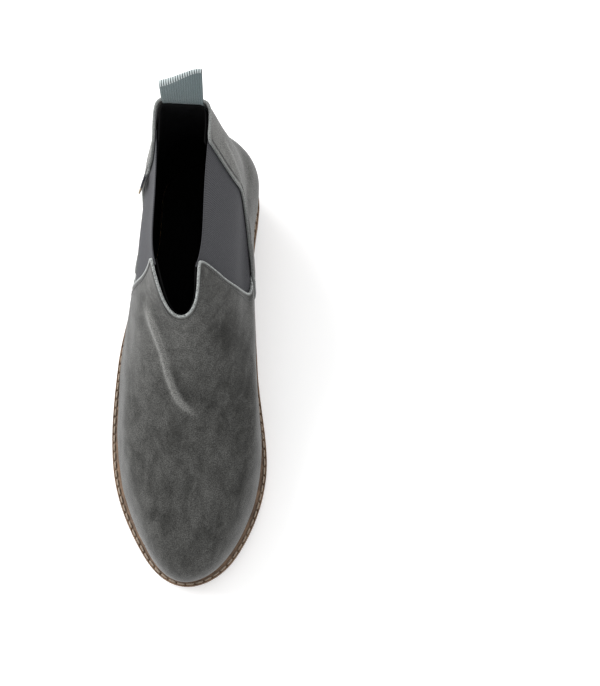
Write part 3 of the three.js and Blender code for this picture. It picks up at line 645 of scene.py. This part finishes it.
def thread_material(name, dark, light):
    """Waxed twisted thread: fine slanting plies."""
    s = Shader(name, 0.7, Sheen_Weight=0.2, Specular_IOR_Level=0.3)
    plies = s.noise(2600, 2, 0.5, 0.3, s.stretched((1.0, 1.0, 2.2)))
    soil = s.noise(240)
    base = s.mix(s.ramp(plies, 0.35, 0.65), dark, light)
    s.color(s.mix(s.ramp(soil, 0.5, 0.75, 0.0, 0.45), base, dark))
    s.bump(plies, 0.6, 0.12)
    return s.material


def rubber_material():
    """Dark brown moulded rubber, matt and dusty."""
    s = Shader("heel_rubber", 0.85, Specular_IOR_Level=0.3)
    dust = s.noise(120, 5)
    pits = s.voronoi(1400)
    s.color(s.mix(s.ramp(dust, 0.4, 0.75), (0.022, 0.017, 0.014), (0.060, 0.050, 0.043)))
    s.rough(s.ramp(dust, 0.3, 0.7, 0.75, 0.95))
    s.bump(pits, 0.25, 0.10)
    s.bump(dust, 0.3, 0.2)
    return s.material


def steel_material():
    """Nail steel: brushed, dulled by wear."""
    s = Shader("nail_steel", 0.4, Metallic=1.0)
    scratch = s.noise(1600, 3, 0.6, 0.0, s.stretched((1.0, 0.1, 1.0)))
    s.color(s.mix(s.ramp(scratch), (0.22, 0.20, 0.18), (0.46, 0.44, 0.41)))
    s.rough(s.ramp(scratch, 0.3, 0.7, 0.3, 0.55))
    s.bump(scratch, 0.25, 0.05)
    return s.material


def ribbon_material():
    """Folded ribbon of the side tag: navy above, tan below, ribbed satin weave."""
    s = Shader("tag_ribbon", 0.65, Sheen_Weight=0.3, Specular_IOR_Level=0.3)
    weave = s.wave(0.8, "Y", 0.2)
    fuzz = s.noise(2600, 2)
    navy = s.mix(s.ramp(fuzz), (0.012, 0.016, 0.028), (0.030, 0.036, 0.055))
    tan = s.mix(s.ramp(fuzz), (0.26, 0.19, 0.11), (0.42, 0.33, 0.21))
    s.color(s.mix(s.ramp(s.field("half"), 0.46, 0.54), tan, navy))
    s.bump(weave, 0.5, 0.10)
    return s.material


def plain_material(name, dark, light, scale):
    """Cork, board and stiffener: two-tone granules with a matching bump."""
    s = Shader(name, 0.85)
    grains = s.voronoi(scale)
    cloud = s.noise(scale / 6, 4)
    base = s.mix(s.ramp(grains, 0.1, 0.6), dark, light)
    s.color(s.mix(s.ramp(cloud, 0.4, 0.7, 0.0, 0.4), base, dark))
    s.bump(grains, 0.4, 0.2)
    return s.material


SUEDE_LOOK = suede_material()
ELASTIC_LOOK = elastic_material()
WEBBING_LOOK = webbing_material()
LINING_LOOK = lining_material()
WELT_LOOK = leather_material("welt_leather", (0.095, 0.056, 0.032), (0.225, 0.145, 0.090), 0.5)
SOLE_LOOK = leather_material("outsole_leather", (0.052, 0.025, 0.012), (0.110, 0.056, 0.028), 0.48)
HEEL_LOOK = leather_material("heel_leather", (0.045, 0.021, 0.010), (0.105, 0.052, 0.026), 0.45, (1, 1, 7))
THREAD_LOOK = thread_material("welt_thread_wax", (0.17, 0.125, 0.09), (0.42, 0.34, 0.265))
GREY_THREAD_LOOK = thread_material("grey_thread_wax", (0.045, 0.045, 0.045), (0.11, 0.112, 0.11))
RUBBER_LOOK = rubber_material()
STEEL_LOOK = steel_material()
TAG_LOOK = ribbon_material()
CORK_LOOK = plain_material("cork_granules", (0.16, 0.08, 0.035), (0.42, 0.26, 0.13), 500)
# the insole board is made near-black: painted shade, so it sinks into the dark inside of the boot
BOARD_SHADE_LOOK = plain_material("insole_board_painted_shade", (0.020, 0.018, 0.016), (0.045, 0.040, 0.036), 900)
STIFFENER_LOOK = plain_material("stiffener_felt", (0.36, 0.30, 0.21), (0.52, 0.45, 0.34), 1400)


# ---------- Upper ----------
SIDES = {"medial": 1, "lateral": -1}
SIDE_SEAM = quarter_front(SIDE_SEAM_LEVEL)
VAMP_END = SIDE_SEAM + LAP_ANGLE
# Places on the vamp and the quarter, seen from above, by distance from the middle and from the toe.
FOLD = curve_through([
    [-30, 174], [-26, 164], [-20.5, 152], [-16, 141], [-12, 128], [-6, 116], [1, 109.5], [9, 104],
])
SMUDGE, SMUDGE_REACH = np.array([24, 155]), 9
PALE_PATCH, PALE_PATCH_REACH = np.array([-4, 152]), 20
DENT = curve_through([[17, 268, 140], [22, 263, 127], [28, 256, 112]])
FOOT_TUCK = 0.25  # how far the suede sinks on to the welt
SKIVE = 0.95  # how much thinner the suede is where it is lapped over
LAP_PROUD = 0.75  # how far the quarter stands out over the vamp's edge
COLLAR_CORNER, CORNER_DROP = 4.5, 0.016  # the quarter's rounded top corner, degrees and level
TAG_REST = -0.35  # the suede lies this flat under the side tag
GORE_FOOT = 0.4  # level of the elastic's hidden lower edge
GORE_TUCK = 6  # degrees of elastic under each edge beside it
LINING_FOOT, LINING_TOP, LINING_DROP = 0.022, 0.994, 0.006
SEAM_PITCH, SEAM_THREAD = 2.2, 0.3
QUARTER_SEAM = 2.4  # degrees behind the quarter's front edge


def fold_relief(points):
    """The soft diagonal fold over the instep: a ridge with a hollow on its inner side, and the tone painted
    on it: a painted highlight along the ridge and painted shade in the hollow.
    """
    gap, share, side = distance_to_path(points[..., :2], FOLD)
    strength = smooth(share / 0.26) * smooth((1 - share) / 0.28)
    ridge = hump(gap, 1.8)
    hollow = hump(side * gap - 6.0, 4.5)
    return strength * (1.6 * ridge - 0.5 * hollow), strength * (1.75 * ridge - 0.1 * hollow)


def ripple(points, seed, size, amount):
    """Slow uneven hills over the leather."""
    p = points / size
    x, y, z = (p[..., k] for k in range(3))
    slow = np.sin(x * 1.7 + seed) * np.sin(y * 1.3 + 2.1 * seed)
    quick = 0.6 * np.sin(z * 2.3 + x - seed) * np.sin(y * 2.9 + 1.7 * seed)
    return amount * (slow + quick)


def suede_piece(name, node, angle, levels, depths, edge, tone_and_painted_light):
    """A suede panel between two depths; its bottom row sinks on to the welt."""
    outer, inner = (layer(angle, levels, depth) for depth in depths)
    for grid in (outer, inner):
        grid[:, 0, 2] -= FOOT_TUCK
    sheet_piece(name, outer, inner, SUEDE_LOOK, "suede", [node], {"edge": edge, "tone_and_painted_light": tone_and_painted_light})


def hump(gap, reach):
    """A soft mound: 1 at no distance, fading over the reach."""
    return np.exp(-((gap / reach) ** 2))


def edge_distance(points, *paths):
    """Distance from each point to the nearest of some seams or edges."""
    gaps = [distance_to_path(points, path)[0] for path in paths]
    return np.minimum.reduce(gaps)


def build_vamp():
    angles = np.linspace(-VAMP_END, VAMP_END, 250)
    levels = np.linspace(0, 1, 120)[None] * vamp_top(angles)[:, None]
    angle = np.broadcast_to(angles[:, None], levels.shape)
    surface = upper(angle, levels)
    rim = np.linspace(-104, 104, 900)
    edge = edge_distance(surface, upper(rim, vamp_top(rim)))
    # painted light: fold_relief lightens the suede along the fold's ridge as a painted highlight and darkens
    # its hollow as painted shade
    relief, tone_and_painted_light = fold_relief(surface)
    relief = relief * smooth((edge - 2) / 8) + ripple(surface, 1.3, 9.0, 0.16) * smooth(edge / 6)
    relief -= 0.35 * hump(edge - 2.2, 0.7)
    smudge, pale_patch = (np.linalg.norm(surface[..., :2] - place, axis=-1) for place in (SMUDGE, PALE_PATCH))
    # the smudge makes the suede darker and the pale patch over the instep makes it lighter
    tone_and_painted_light = tone_and_painted_light - 0.35 * hump(smudge, SMUDGE_REACH) + 0.42 * hump(pale_patch, PALE_PATCH_REACH)
    under_quarter = smooth((np.abs(angle) - quarter_front(levels) + 2) / 2) * smooth((0.49 - levels) / 0.04)
    depths = SKIVE * under_quarter - relief, SUEDE - 0.5 * relief
    suede_piece("vamp_suede", "vamp", angle, levels, depths, edge, tone_and_painted_light)


def quarter_grid(sign, columns=120, rows=130):
    """Angles and levels of a quarter, denser near its front edge."""
    levels = np.linspace(0, 1, rows)[None]
    share = np.linspace(0, 1, columns)[:, None] ** 1.25
    front = quarter_front(levels)
    angle = lerp(front, 180 - 0.12, share)
    return sign * angle, np.broadcast_to(levels, angle.shape), angle - front


def build_quarter(side):
    sign = SIDES[side]
    angle, levels, beyond = quarter_grid(sign)
    near_corner = 1 - np.clip(beyond / COLLAR_CORNER, 0, 1)
    levels = levels - CORNER_DROP * (1 - np.sqrt(1 - near_corner**2)) * levels**10
    surface = upper(angle, levels)
    edge = edge_distance(surface, surface[0], surface[:, -1])
    back_seam = edge_distance(surface, surface[-1])
    relief = ripple(surface, 2.2 + sign, 11.0, 0.22) * smooth(edge / 7)
    relief += 0.35 * hump(edge, 1.3) - 0.4 * hump(edge - 2.3, 0.7)
    relief -= 0.5 * hump(back_seam, 0.9) + 0.25 * hump(back_seam - 2.2, 1.1)
    streak = hump(edge_distance(surface, DENT), 2.6) * (side == "medial")
    relief += 0.7 * streak
    if side == "lateral":
        tag_gap = np.linalg.norm(surface - upper(-quarter_front(TAG_LEVEL), TAG_LEVEL), axis=-1)
        relief = lerp(relief, TAG_REST, 1 - smooth((tag_gap - 9) / 7))
    lap = lap_rise(beyond, levels) / (SUEDE + LAP_CLEARANCE)
    depths = -(LAP_PROUD * lap + relief), lerp(SUEDE, SUEDE - SKIVE + 0.1, lap) - 0.5 * relief
    # painted highlight: the quarter's tone is raised, most toward its top, where light from above and behind
    # falls; it is also lighter along the raised ridge over DENT
    tone_and_painted_light = 0.45 * streak + 0.22 + 0.34 * smooth((levels - 0.5) / 0.4)
    edge = np.minimum(edge + 0.75, 6)
    suede_piece(f"quarter_suede_{side}", f"quarter_{side}", angle, levels, depths, edge, tone_and_painted_light)


def build_gore(side):
    sign = SIDES[side]
    columns, rows = 90, 130
    levels = np.linspace(GORE_FOOT, GORE_TOP, rows)[None]
    front = gore_front(np.minimum(levels, vamp_top(PEAK_ANGLE) - 0.002)) - GORE_TUCK
    back = quarter_front(levels) + GORE_TUCK
    share = np.linspace(0, 1, columns)[:, None]
    angle = lerp(front, back, share)
    levels = np.broadcast_to(levels, angle.shape)
    surface = layer(sign * angle, levels, GORE_DEPTH)
    width = np.linalg.norm(np.diff(surface, axis=0), axis=-1).sum(0).mean()
    height = np.linalg.norm(np.diff(surface, axis=1), axis=-1).sum(1).mean()
    sag = 0.5 * np.sin(math.pi * share) * smooth((levels - GORE_FOOT) / 0.2)
    outer = layer(sign * angle, levels, GORE_DEPTH + sag)
    inner = layer(sign * angle, levels, GORE_DEPTH + GORE + sag)
    up = (levels - GORE_FOOT) / (GORE_TOP - GORE_FOOT) * height
    uv = np.stack([np.broadcast_to(share * width, angle.shape), up], -1)
    sheet_piece(f"gore_elastic_{side}", outer, inner, ELASTIC_LOOK, "elastic", [f"gore_{side}"], uv=uv)


def lining_piece(node, angle, levels):
    outer, inner = (layer(angle, levels, LINING_DEPTH + d) for d in (0, LINING))
    sheet_piece(f"{node}_leather", outer, inner, LINING_LOOK, "lining", [node])


def build_linings():
    angles = np.linspace(-SIDE_SEAM, SIDE_SEAM, 150)
    levels = lerp(LINING_FOOT, vamp_top(angles)[:, None] - LINING_DROP, np.linspace(0, 1, 70)[None])
    lining_piece("vamp_lining", np.broadcast_to(angles[:, None], levels.shape), levels)
    levels = np.linspace(LINING_FOOT, LINING_TOP, 90)[None]
    front = np.maximum(quarter_front(levels), SIDE_SEAM)
    angle = lerp(front, 360 - front, np.linspace(0, 1, 150)[:, None])
    lining_piece("quarter_lining", angle, np.broadcast_to(levels, angle.shape))


def upper_stitches(name, node, angles, levels, depth=0.15, pitch=SEAM_PITCH):
    """Fine grey stitches over a line on the upper."""
    path, normals = layer(angles, levels, depth), upper_normal(angles, levels)
    stitch_row(name, path, normals, pitch, SEAM_THREAD, GREY_THREAD_LOOK, "grey_thread", [node])


def build_upper_stitches():
    """Stitches along the vamp's edge and both quarters' front edges."""
    angles = np.linspace(-PEAK_ANGLE + 5, PEAK_ANGLE - 5, 400)
    upper_stitches("scoop_stitches", "scoop_thread", angles, vamp_top(angles) - 0.021)
    for side, sign in SIDES.items():
        levels = np.linspace(0.95, 0.44, 400)
        angles = sign * (gore_front(levels) - 2.6)
        upper_stitches(f"vamp_stitches_{side}", f"vamp_thread_{side}", angles, levels)
        levels = np.linspace(0.985, 0.03, 600)
        angles = sign * (quarter_front(levels) + QUARTER_SEAM)
        depth = 0.25 - LAP_PROUD * lap_rise(QUARTER_SEAM, levels) / (SUEDE + LAP_CLEARANCE)
        upper_stitches(f"quarter_stitches_{side}", f"quarter_thread_{side}", angles, levels, depth, 2.4)


build_vamp()
for each_side in SIDES:
    build_quarter(each_side)
    build_gore(each_side)
build_linings()
build_upper_stitches()


# ---------- Bottom ----------
SOLE_RING = np.arange(480) * 0.75  # degrees round the feather line
WELT_RING = np.arange(1440) * 0.25
# Profiles are (out from the feather line, up from the seat), mm.
WELT_PROFILE = [
    (-3.0, -0.35), (-0.4, -0.35), (0.5, -0.4), (1.3, -0.55), (1.9, -0.95), (2.5, -1.1), (3.1, -1.0),
    (3.5, -0.6), (3.8, -0.38), (4.1, -0.34), (4.35, -0.45), (4.52, -0.75), (4.58, -1.2), (4.6, -2.4),
    (4.5, -3.0), (4.1, -3.25), (3.0, -3.3), (-3.0, -3.3),
]
NOTCHED = {4: 0.3, 5: 0.3, 6: 0.6, 7: 1.0, 8: 0.8, 9: 0.35}  # share of a nick at each profile point
NOTCH_DEPTH, NOTCH_REACH = 0.35, 0.55
WELT_SEAM, WELT_SEAM_LIFT = 2.9, -0.72
WELT_PITCH = 6.2
WELT_THREAD = 0.62
SOLE_PROFILE = [
    (-6, SOLE_TOP), (3.7, SOLE_TOP), (4.05, -3.75), (SOLE_EDGE, -4.2), (4.22, -6.0), (SOLE_EDGE, -7.6),
    (4.0, -8.1), (3.5, -8.42), (2.6, SOLE_BOTTOM), (-1.6, SOLE_BOTTOM), (-2.0, -8.25), (-2.3, -8.1),
    (-2.6, -8.25), (-3.0, SOLE_BOTTOM), (-6, SOLE_BOTTOM),
]
SOCK_PROFILE = [
    (-9, 4.5), (-4.8, 4.5), (-4.55, 4.8), (-4.5, 5.6), (-4.55, 6.4), (-5.0, 6.9), (-6.2, 7.05), (-9, 7.1),
]


def ring_sections(profile, ring):
    """Rows of a profile carried round the feather line."""
    return np.stack([feather(ring, out, lift) for out, lift in profile], 1)


def welt_notches(path):
    """Depth of the small nicks across the welt between stitches, along a path round it."""
    lengths = arc_length(np.vstack([path, path[:1]]))
    count = round(lengths[-1] / WELT_PITCH)
    phase = np.mod(lengths[:-1] / lengths[-1] * count, 1)
    return NOTCH_DEPTH * hump(np.minimum(phase, 1 - phase) * WELT_PITCH, NOTCH_REACH)


def build_welt():
    sections = ring_sections(WELT_PROFILE, WELT_RING)
    notch = welt_notches(sections[:, 8])
    for column, share in NOTCHED.items():
        sections[:, column, 2] -= notch * share
    points, faces = ring_loft(sections)
    make_piece("welt_strip", points, faces, WELT_LOOK, "welt", hides=["welt"])
    path = feather(WELT_RING, WELT_SEAM, WELT_SEAM_LIFT)
    up = np.broadcast_to([0, 0, 1.0], path.shape)
    stitch_row("welt_stitches", path, up, WELT_PITCH, WELT_THREAD, THREAD_LOOK, "welt_thread",
               ["welt_stitch"], fill=0.9, closed=True, sink=0.45)


def sole_piece(name, profile, material, slot, hides):
    """A layer of the sole: a profile round the edge, and rungs from side to side over top and bottom."""
    sections = ring_sections(profile, SOLE_RING)
    count, size = sections.shape[:2]
    points, faces = sections.reshape(-1, 3), []
    for i in range(count):
        here, there = i * size, ((i + 1) % count) * size
        for k in range(size - 1):
            faces.append((here + k, there + k, there + k + 1, here + k + 1))
    for k in range(count // 2):
        a, b, c, d = k, k + 1, (count - k - 1) % count, (count - k) % count
        for row in (0, size - 1):
            loop = list(dict.fromkeys((a * size + row, b * size + row, c * size + row, d * size + row)))
            if len(loop) > 2:
                faces.append(tuple(loop if row else loop[::-1]))
    return make_piece(name, points, faces, material, slot, hides=hides)


def build_sole():
    sole_piece("outsole_leather", SOLE_PROFILE, SOLE_LOOK, "outsole", ["outsole"])
    sole_piece("sock_liner_pad", SOCK_PROFILE, LINING_LOOK, "sock", ["sock_liner"])


def heel_outline(inset):
    """The heel's edge stepped in from the outsole's, cut off square at the breast."""
    angle = np.linspace(95, 265, 240)
    edge = feather(angle, SOLE_EDGE - inset, 0)[:, :2]
    line = HEEL_BREAST + inset
    keep = edge[:, 1] > line
    first, last = np.flatnonzero(keep)[[0, -1]]
    ends = []
    for a, b in ((first - 1, first), (last, last + 1)):
        t = (line - edge[a, 1]) / (edge[b, 1] - edge[a, 1])
        ends.append(lerp(edge[a], edge[b], t))
    return np.vstack([ends[0], edge[first:last + 1], ends[1]])


def nail_places():
    """Where the nails stand, on a line set in from the heel's edge."""
    edge = feather(90 + np.arange(49) * 3.75, SOLE_EDGE - NAIL_INSET, 0)[:, :2]
    kept = edge[edge[:, 1] > HEEL_BREAST + NAIL_INSET]
    return [kept[int(share * (len(kept) - 1) + 0.5)] for share in np.linspace(0.04, 0.96, NAIL_COUNT)]


NAIL_HOLE = 1.1
NAIL_HEAD_HOLE = 2.0
NAIL_PROFILE = [(0.05, 0.8), (1.4, 0.8), (1.7, 1.0), (0.8, 2.0), (0.8, 21.9), (0.05, 23.9)]  # radius, height
LIFT_GAP = 0.12
CREASE_ANGLE = 35  # degrees at which a plate's edge stays sharp


def pierced_plate(name, outline, bottom, top, hole, bevel, material, hides):
    """A flat plate with a softened edge and a round hole for each nail, drawn as a filled curve."""
    curve = bpy.data.curves.new(name, "CURVE")
    curve.dimensions = "2D"
    curve.fill_mode = "BOTH"
    curve.extrude = ((top - bottom) / 2 - bevel) * MM
    curve.bevel_depth = bevel * MM
    curve.bevel_resolution = 2
    turn = np.linspace(0, 2 * math.pi, 24, endpoint=False)
    circle = (hole + bevel) * np.stack([np.cos(turn), np.sin(turn)], -1)
    rings = [outline] + [place + circle for place in nail_places()]
    centre = outline.mean(0)
    for n, ring in enumerate(rings):
        if n == 0:
            ring = ring - unit(ring - centre) * bevel
        spline = curve.splines.new("POLY")
        spline.points.add(len(ring) - 1)
        spline.use_cyclic_u = True
        for point, (x, y) in zip(spline.points, ring):
            point.co = ((x + SHIFT[0]) * MM, (y + SHIFT[1]) * MM, 0, 1)
    drawn = add_object(name + "_outline", curve)
    mesh = bpy.data.meshes.new_from_object(drawn.evaluated_get(bpy.context.evaluated_depsgraph_get()))
    bpy.data.objects.remove(drawn)
    bpy.data.curves.remove(curve)
    mesh.transform(Matrix.Translation((0, 0, (bottom + top) / 2 * MM)))
    close_seams(mesh, 1e-6)
    mesh.materials.clear()
    mesh.shade_smooth()
    mesh.set_sharp_from_angle(angle=math.radians(CREASE_ANGLE))
    add_piece(name, mesh, material, hides)


def build_heel():
    outline = heel_outline(HEEL_TAPER * LIFT_COUNT)
    pierced_plate("heel_rubber_top_piece", outline, 0, TOP_PIECE, NAIL_HEAD_HOLE, 0.35, RUBBER_LOOK,
                  ["heel_top_piece"])
    step = (HEEL_HEIGHT - TOP_PIECE) / LIFT_COUNT
    for k in range(LIFT_COUNT):
        low = TOP_PIECE + LIFT_GAP + k * step
        outline = heel_outline(HEEL_TAPER * (LIFT_COUNT - 1 - k))
        pierced_plate(f"heel_leather_lift_{k + 1}", outline, low, low + step - LIFT_GAP, NAIL_HOLE, 0.2,
                      HEEL_LOOK, [f"heel_lift_{k + 1}"])
    turn = np.linspace(0, 2 * math.pi, 20, endpoint=False)
    nails = []
    for x, y in nail_places():
        rings = [[[x + r * math.cos(a), y + r * math.sin(a), z] for a in turn] for r, z in NAIL_PROFILE]
        nails.append(np.array(rings))
    make_piece("heel_nails", *separate_lofts(nails), STEEL_LOOK, "steel",
               hides=[f"heel_nail_{k + 1}" for k in range(NAIL_COUNT)])


# ---------- Pull tab and side tag ----------
TAB_RIBS = 18
TAB_DEPTH = SUEDE + 0.3 + 0.6  # the webbing's middle surface, under the suede
TAB_HEIGHTS = 25.8, 32.4  # lateral and medial edge
TAB_GAPS = 1.6, 0.85  # half the space inside the fold, lateral and medial
TAB_LEAN = 11.5  # degrees towards the heel at the medial edge
TAIL_LEVEL = 0.94
TAIL_APART = 0.28
LEG_APART = 0.36  # half the space between the legs at the collar
THIN, THICK = 0.42, 1.15  # webbing pressed in the seam, and free
FOLD_START = 0.965


def tab_path(across):
    """The middle surface of the folded webbing, its thickness and how near each row is to the fold."""
    fine = np.linspace(140, 220, 400)
    root = layer(180.0, 1.0, TAB_DEPTH)
    angle = np.interp(across + root[0], layer(fine, 1.0, TAB_DEPTH)[::-1, 0], fine[::-1])
    base = layer(angle, 1.0, TAB_DEPTH)
    medial = smooth((across + TAB_WIDTH / 2) / TAB_WIDTH)
    height = lerp(*TAB_HEIGHTS, 1 - (1 - (across + TAB_WIDTH / 2) / TAB_WIDTH) ** 1.5)
    gap = lerp(*TAB_GAPS, medial)
    lean = np.radians(TAB_LEAN * medial)
    tail = np.linspace(TAIL_LEVEL, 1, 10, endpoint=False)
    leg = np.linspace(0, 1, 45, endpoint=False)
    turn = np.linspace(0, math.pi, 20)
    columns = []
    for k in range(len(across)):
        up = np.array([0, math.sin(lean[k]), math.cos(lean[k])])
        heel = np.array([0, math.cos(lean[k]), -math.sin(lean[k])])
        rise = height[k] - gap[k]
        spread = heel * lerp(LEG_APART, gap[k], smooth(leg * rise / 11))[:, None]
        straighten = np.array([0, (root - base[k])[1] * 0.6, 0])
        middle = base[k] + smooth(leg)[:, None] * straighten + up * (leg * rise)[:, None]
        top = base[k] + straighten + up * rise
        bend = top + heel * (gap[k] * np.cos(turn))[:, None] + up * (gap[k] * np.sin(turn))[:, None]
        along = np.full(len(tail), angle[k])
        outer_tail = layer(along, tail, TAB_DEPTH - TAIL_APART)
        inner_tail = layer(along, tail, TAB_DEPTH + TAIL_APART)
        inner_leg = (middle - spread)[::-1]
        columns.append(np.vstack([outer_tail, middle + spread, bend, inner_leg, inner_tail[::-1]]))

    def both_legs(in_tail, in_leg, in_bend):
        sewn, bent = np.full(len(tail), in_tail), np.full(len(turn), in_bend)
        return np.concatenate([sewn, in_leg, bent, in_leg[::-1], sewn])

    thick = both_legs(THIN, lerp(THIN, THICK, smooth(leg * 6)), THICK)
    near = both_legs(0.0, np.clip((leg - FOLD_START) / (1 - FOLD_START), 0, 1), 1.0)
    return np.array(columns), thick, near


def grid_normals(grid):
    across, along = np.gradient(grid, axis=0), np.gradient(grid, axis=1)
    return unit(np.cross(across, along))


def build_pull_tab():
    across = np.linspace(-TAB_WIDTH / 2, TAB_WIDTH / 2, TAB_RIBS * 10 + 1)
    middle, thick, near = tab_path(across)
    normal = grid_normals(middle)
    rib = (0.5 - 0.5 * np.cos(2 * math.pi * across * TAB_RIBS / TAB_WIDTH + math.pi * TAB_RIBS)) ** 0.7
    half = (thick[None] / 2) * (0.60 + 0.40 * rib[:, None])
    outer = middle + normal * half[..., None]
    inner = middle - normal * half[..., None]
    fields = {"rib": np.broadcast_to(rib[:, None], half.shape), "fold": np.broadcast_to(near, half.shape)}
    length = arc_length(middle[len(across) // 2])
    uv = np.stack(np.broadcast_arrays(across[:, None], length), -1)
    tab = sheet_piece("pull_tab_webbing", outer, inner, WEBBING_LOOK, "webbing",
                      ["pull_tab_tail", "pull_tab_loop"], fields, uv, body=None)
    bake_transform(tab)


TAG_ROOT = 0.55  # sewn under the quarter's edge
TAG_BEND = 0.42  # radius of the ribbon's fold
RIBBON = 0.32


def build_side_tag():
    angle = -float(quarter_front(TAG_LEVEL))
    out = upper_normal(angle, TAG_LEVEL)
    up = unit(upper(angle, TAG_LEVEL + 0.02) - upper(angle, TAG_LEVEL - 0.02))
    forward = unit(np.cross(out, up))
    forward = forward if forward[1] < 0 else -forward
    spread = math.radians(TAG_SPREAD)
    reach = forward * math.cos(spread) + out * math.sin(spread)
    side = np.cross(up, reach)
    low, high = (np.array(c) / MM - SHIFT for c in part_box("side_tag"))
    root = (low + high) / 2 - reach * (TAG_LENGTH / 2 - TAG_ROOT)
    turn = np.linspace(math.pi / 2, -math.pi / 2, 16)
    run = np.linspace(0, TAG_LENGTH - TAG_ROOT - TAG_BEND, 24, endpoint=False)
    leaf = TAG_BEND * (0.75 + 0.25 * smooth(run / 5))
    bend = np.stack([run[-1] + TAG_BEND * np.cos(turn) + 0.2, TAG_BEND * np.sin(turn)], -1)
    path = np.vstack([np.stack([run, leaf], -1), bend, np.stack([run, -leaf], -1)[::-1]])
    share = np.linspace(0, 1, 40)
    rows = (share - 0.5) * (TAG_HEIGHT - 0.5)
    middle = root + reach * path[None, :, :1] + side * path[None, :, 1:] + up * rows[:, None, None]
    offset = grid_normals(middle) * RIBBON / 2
    outer, inner = middle + offset, middle - offset
    half = np.broadcast_to(share[:, None], outer.shape[:2])
    uv = np.stack([np.broadcast_to(path[:, 0], half.shape), half * TAG_HEIGHT], -1)
    sheet_piece("side_tag_ribbon", outer, inner, TAG_LOOK, "tag", ["side_tag"], {"half": half}, uv,
                body="tag")


# ---------- Inner pieces that keep their CAD shape ----------
INNER_LOOKS = {
    "cork_filler": CORK_LOOK,
    "forefoot_filler": CORK_LOOK,
    "insole_board": BOARD_SHADE_LOOK,
    "shank": STEEL_LOOK,
    "toe_puff": STIFFENER_LOOK,
    "heel_counter": STIFFENER_LOOK,
}


def paint_inner_pieces():
    for name, look in INNER_LOOKS.items():
        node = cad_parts[name]
        node.data.materials.clear()
        node.data.materials.append(look)


# ---------- Stage, lights and camera ----------
FLOOR_SIZE = 6
CAMERA_PLACE = np.array([58.219, -74.159, 920.773])  # in drawn millimetres
CAMERA_YAW, CAMERA_PITCH, CAMERA_ROLL = 3.317, -74.624, 5.902
CAMERA_LENS, CAMERA_SENSOR = 69.89, 36
LIGHT_TARGET = 0, 0, 0.06


def floor_material():
    s = Shader("studio_floor", 0.9, Emission_Strength=0.24)
    s.surface.inputs["Emission Color"].default_value = (1, 1, 1, 1)
    cloud = s.noise(3, 2, 0.5)
    s.color(s.mix(s.ramp(cloud), (0.90, 0.90, 0.90), (0.92, 0.92, 0.92)))
    return s.material


def build_stage():
    mesh = bpy.data.meshes.new("floor")
    corners = [(x * FLOOR_SIZE, y * FLOOR_SIZE, 0) for x, y in ((-1, -1), (1, -1), (1, 1), (-1, 1))]
    mesh.from_pydata(corners, [], [(0, 1, 2, 3)])
    mesh.materials.append(floor_material())
    floor = add_object("floor", mesh)


def area_light(name, place, size, power):
    data = bpy.data.lights.new(name, "AREA")
    data.shape = "DISK"
    data.size = size
    data.energy = power
    light = add_object(name, data)
    light.location = place
    light.rotation_euler = (Vector(LIGHT_TARGET) - Vector(place)).to_track_quat("-Z", "Y").to_euler()


def build_lights():
    world = bpy.data.worlds.new("studio")
    bpy.context.scene.world = world
    world.use_nodes = True
    background = world.node_tree.nodes["Background"]
    background.inputs["Color"].default_value = (1, 1, 1, 1)
    background.inputs["Strength"].default_value = 0.92
    area_light("key", (-1.0, 0.5, 0.7), 1.4, 22)
    area_light("fill", (1.0, 0.6, 0.6), 0.9, 2)


def build_camera():
    """A camera above and a little in front of the boot, turned slightly."""
    data = bpy.data.cameras.new("camera")
    data.sensor_width = CAMERA_SENSOR
    data.lens = CAMERA_LENS
    camera = add_object("camera", data)
    yaw, pitch, roll = (math.radians(a) for a in (CAMERA_YAW, CAMERA_PITCH, CAMERA_ROLL))
    ahead = Vector((math.sin(yaw) * math.cos(pitch), math.cos(yaw) * math.cos(pitch), math.sin(pitch)))
    right = Vector((math.cos(yaw), -math.sin(yaw), 0))
    above = right.cross(ahead)
    c, s = math.cos(roll), math.sin(roll)
    turned = Matrix((right * c + above * s, above * c - right * s, -ahead)).transposed().to_4x4()
    camera.matrix_world = Matrix.Translation((CAMERA_PLACE + SHIFT) * MM) @ turned
    bpy.context.scene.camera = camera


build_welt()
build_sole()
build_heel()
build_pull_tab()
build_side_tag()
paint_inner_pieces()
build_stage()
build_lights()
bpy.context.scene.view_settings.view_transform = "Standard"
build_camera()
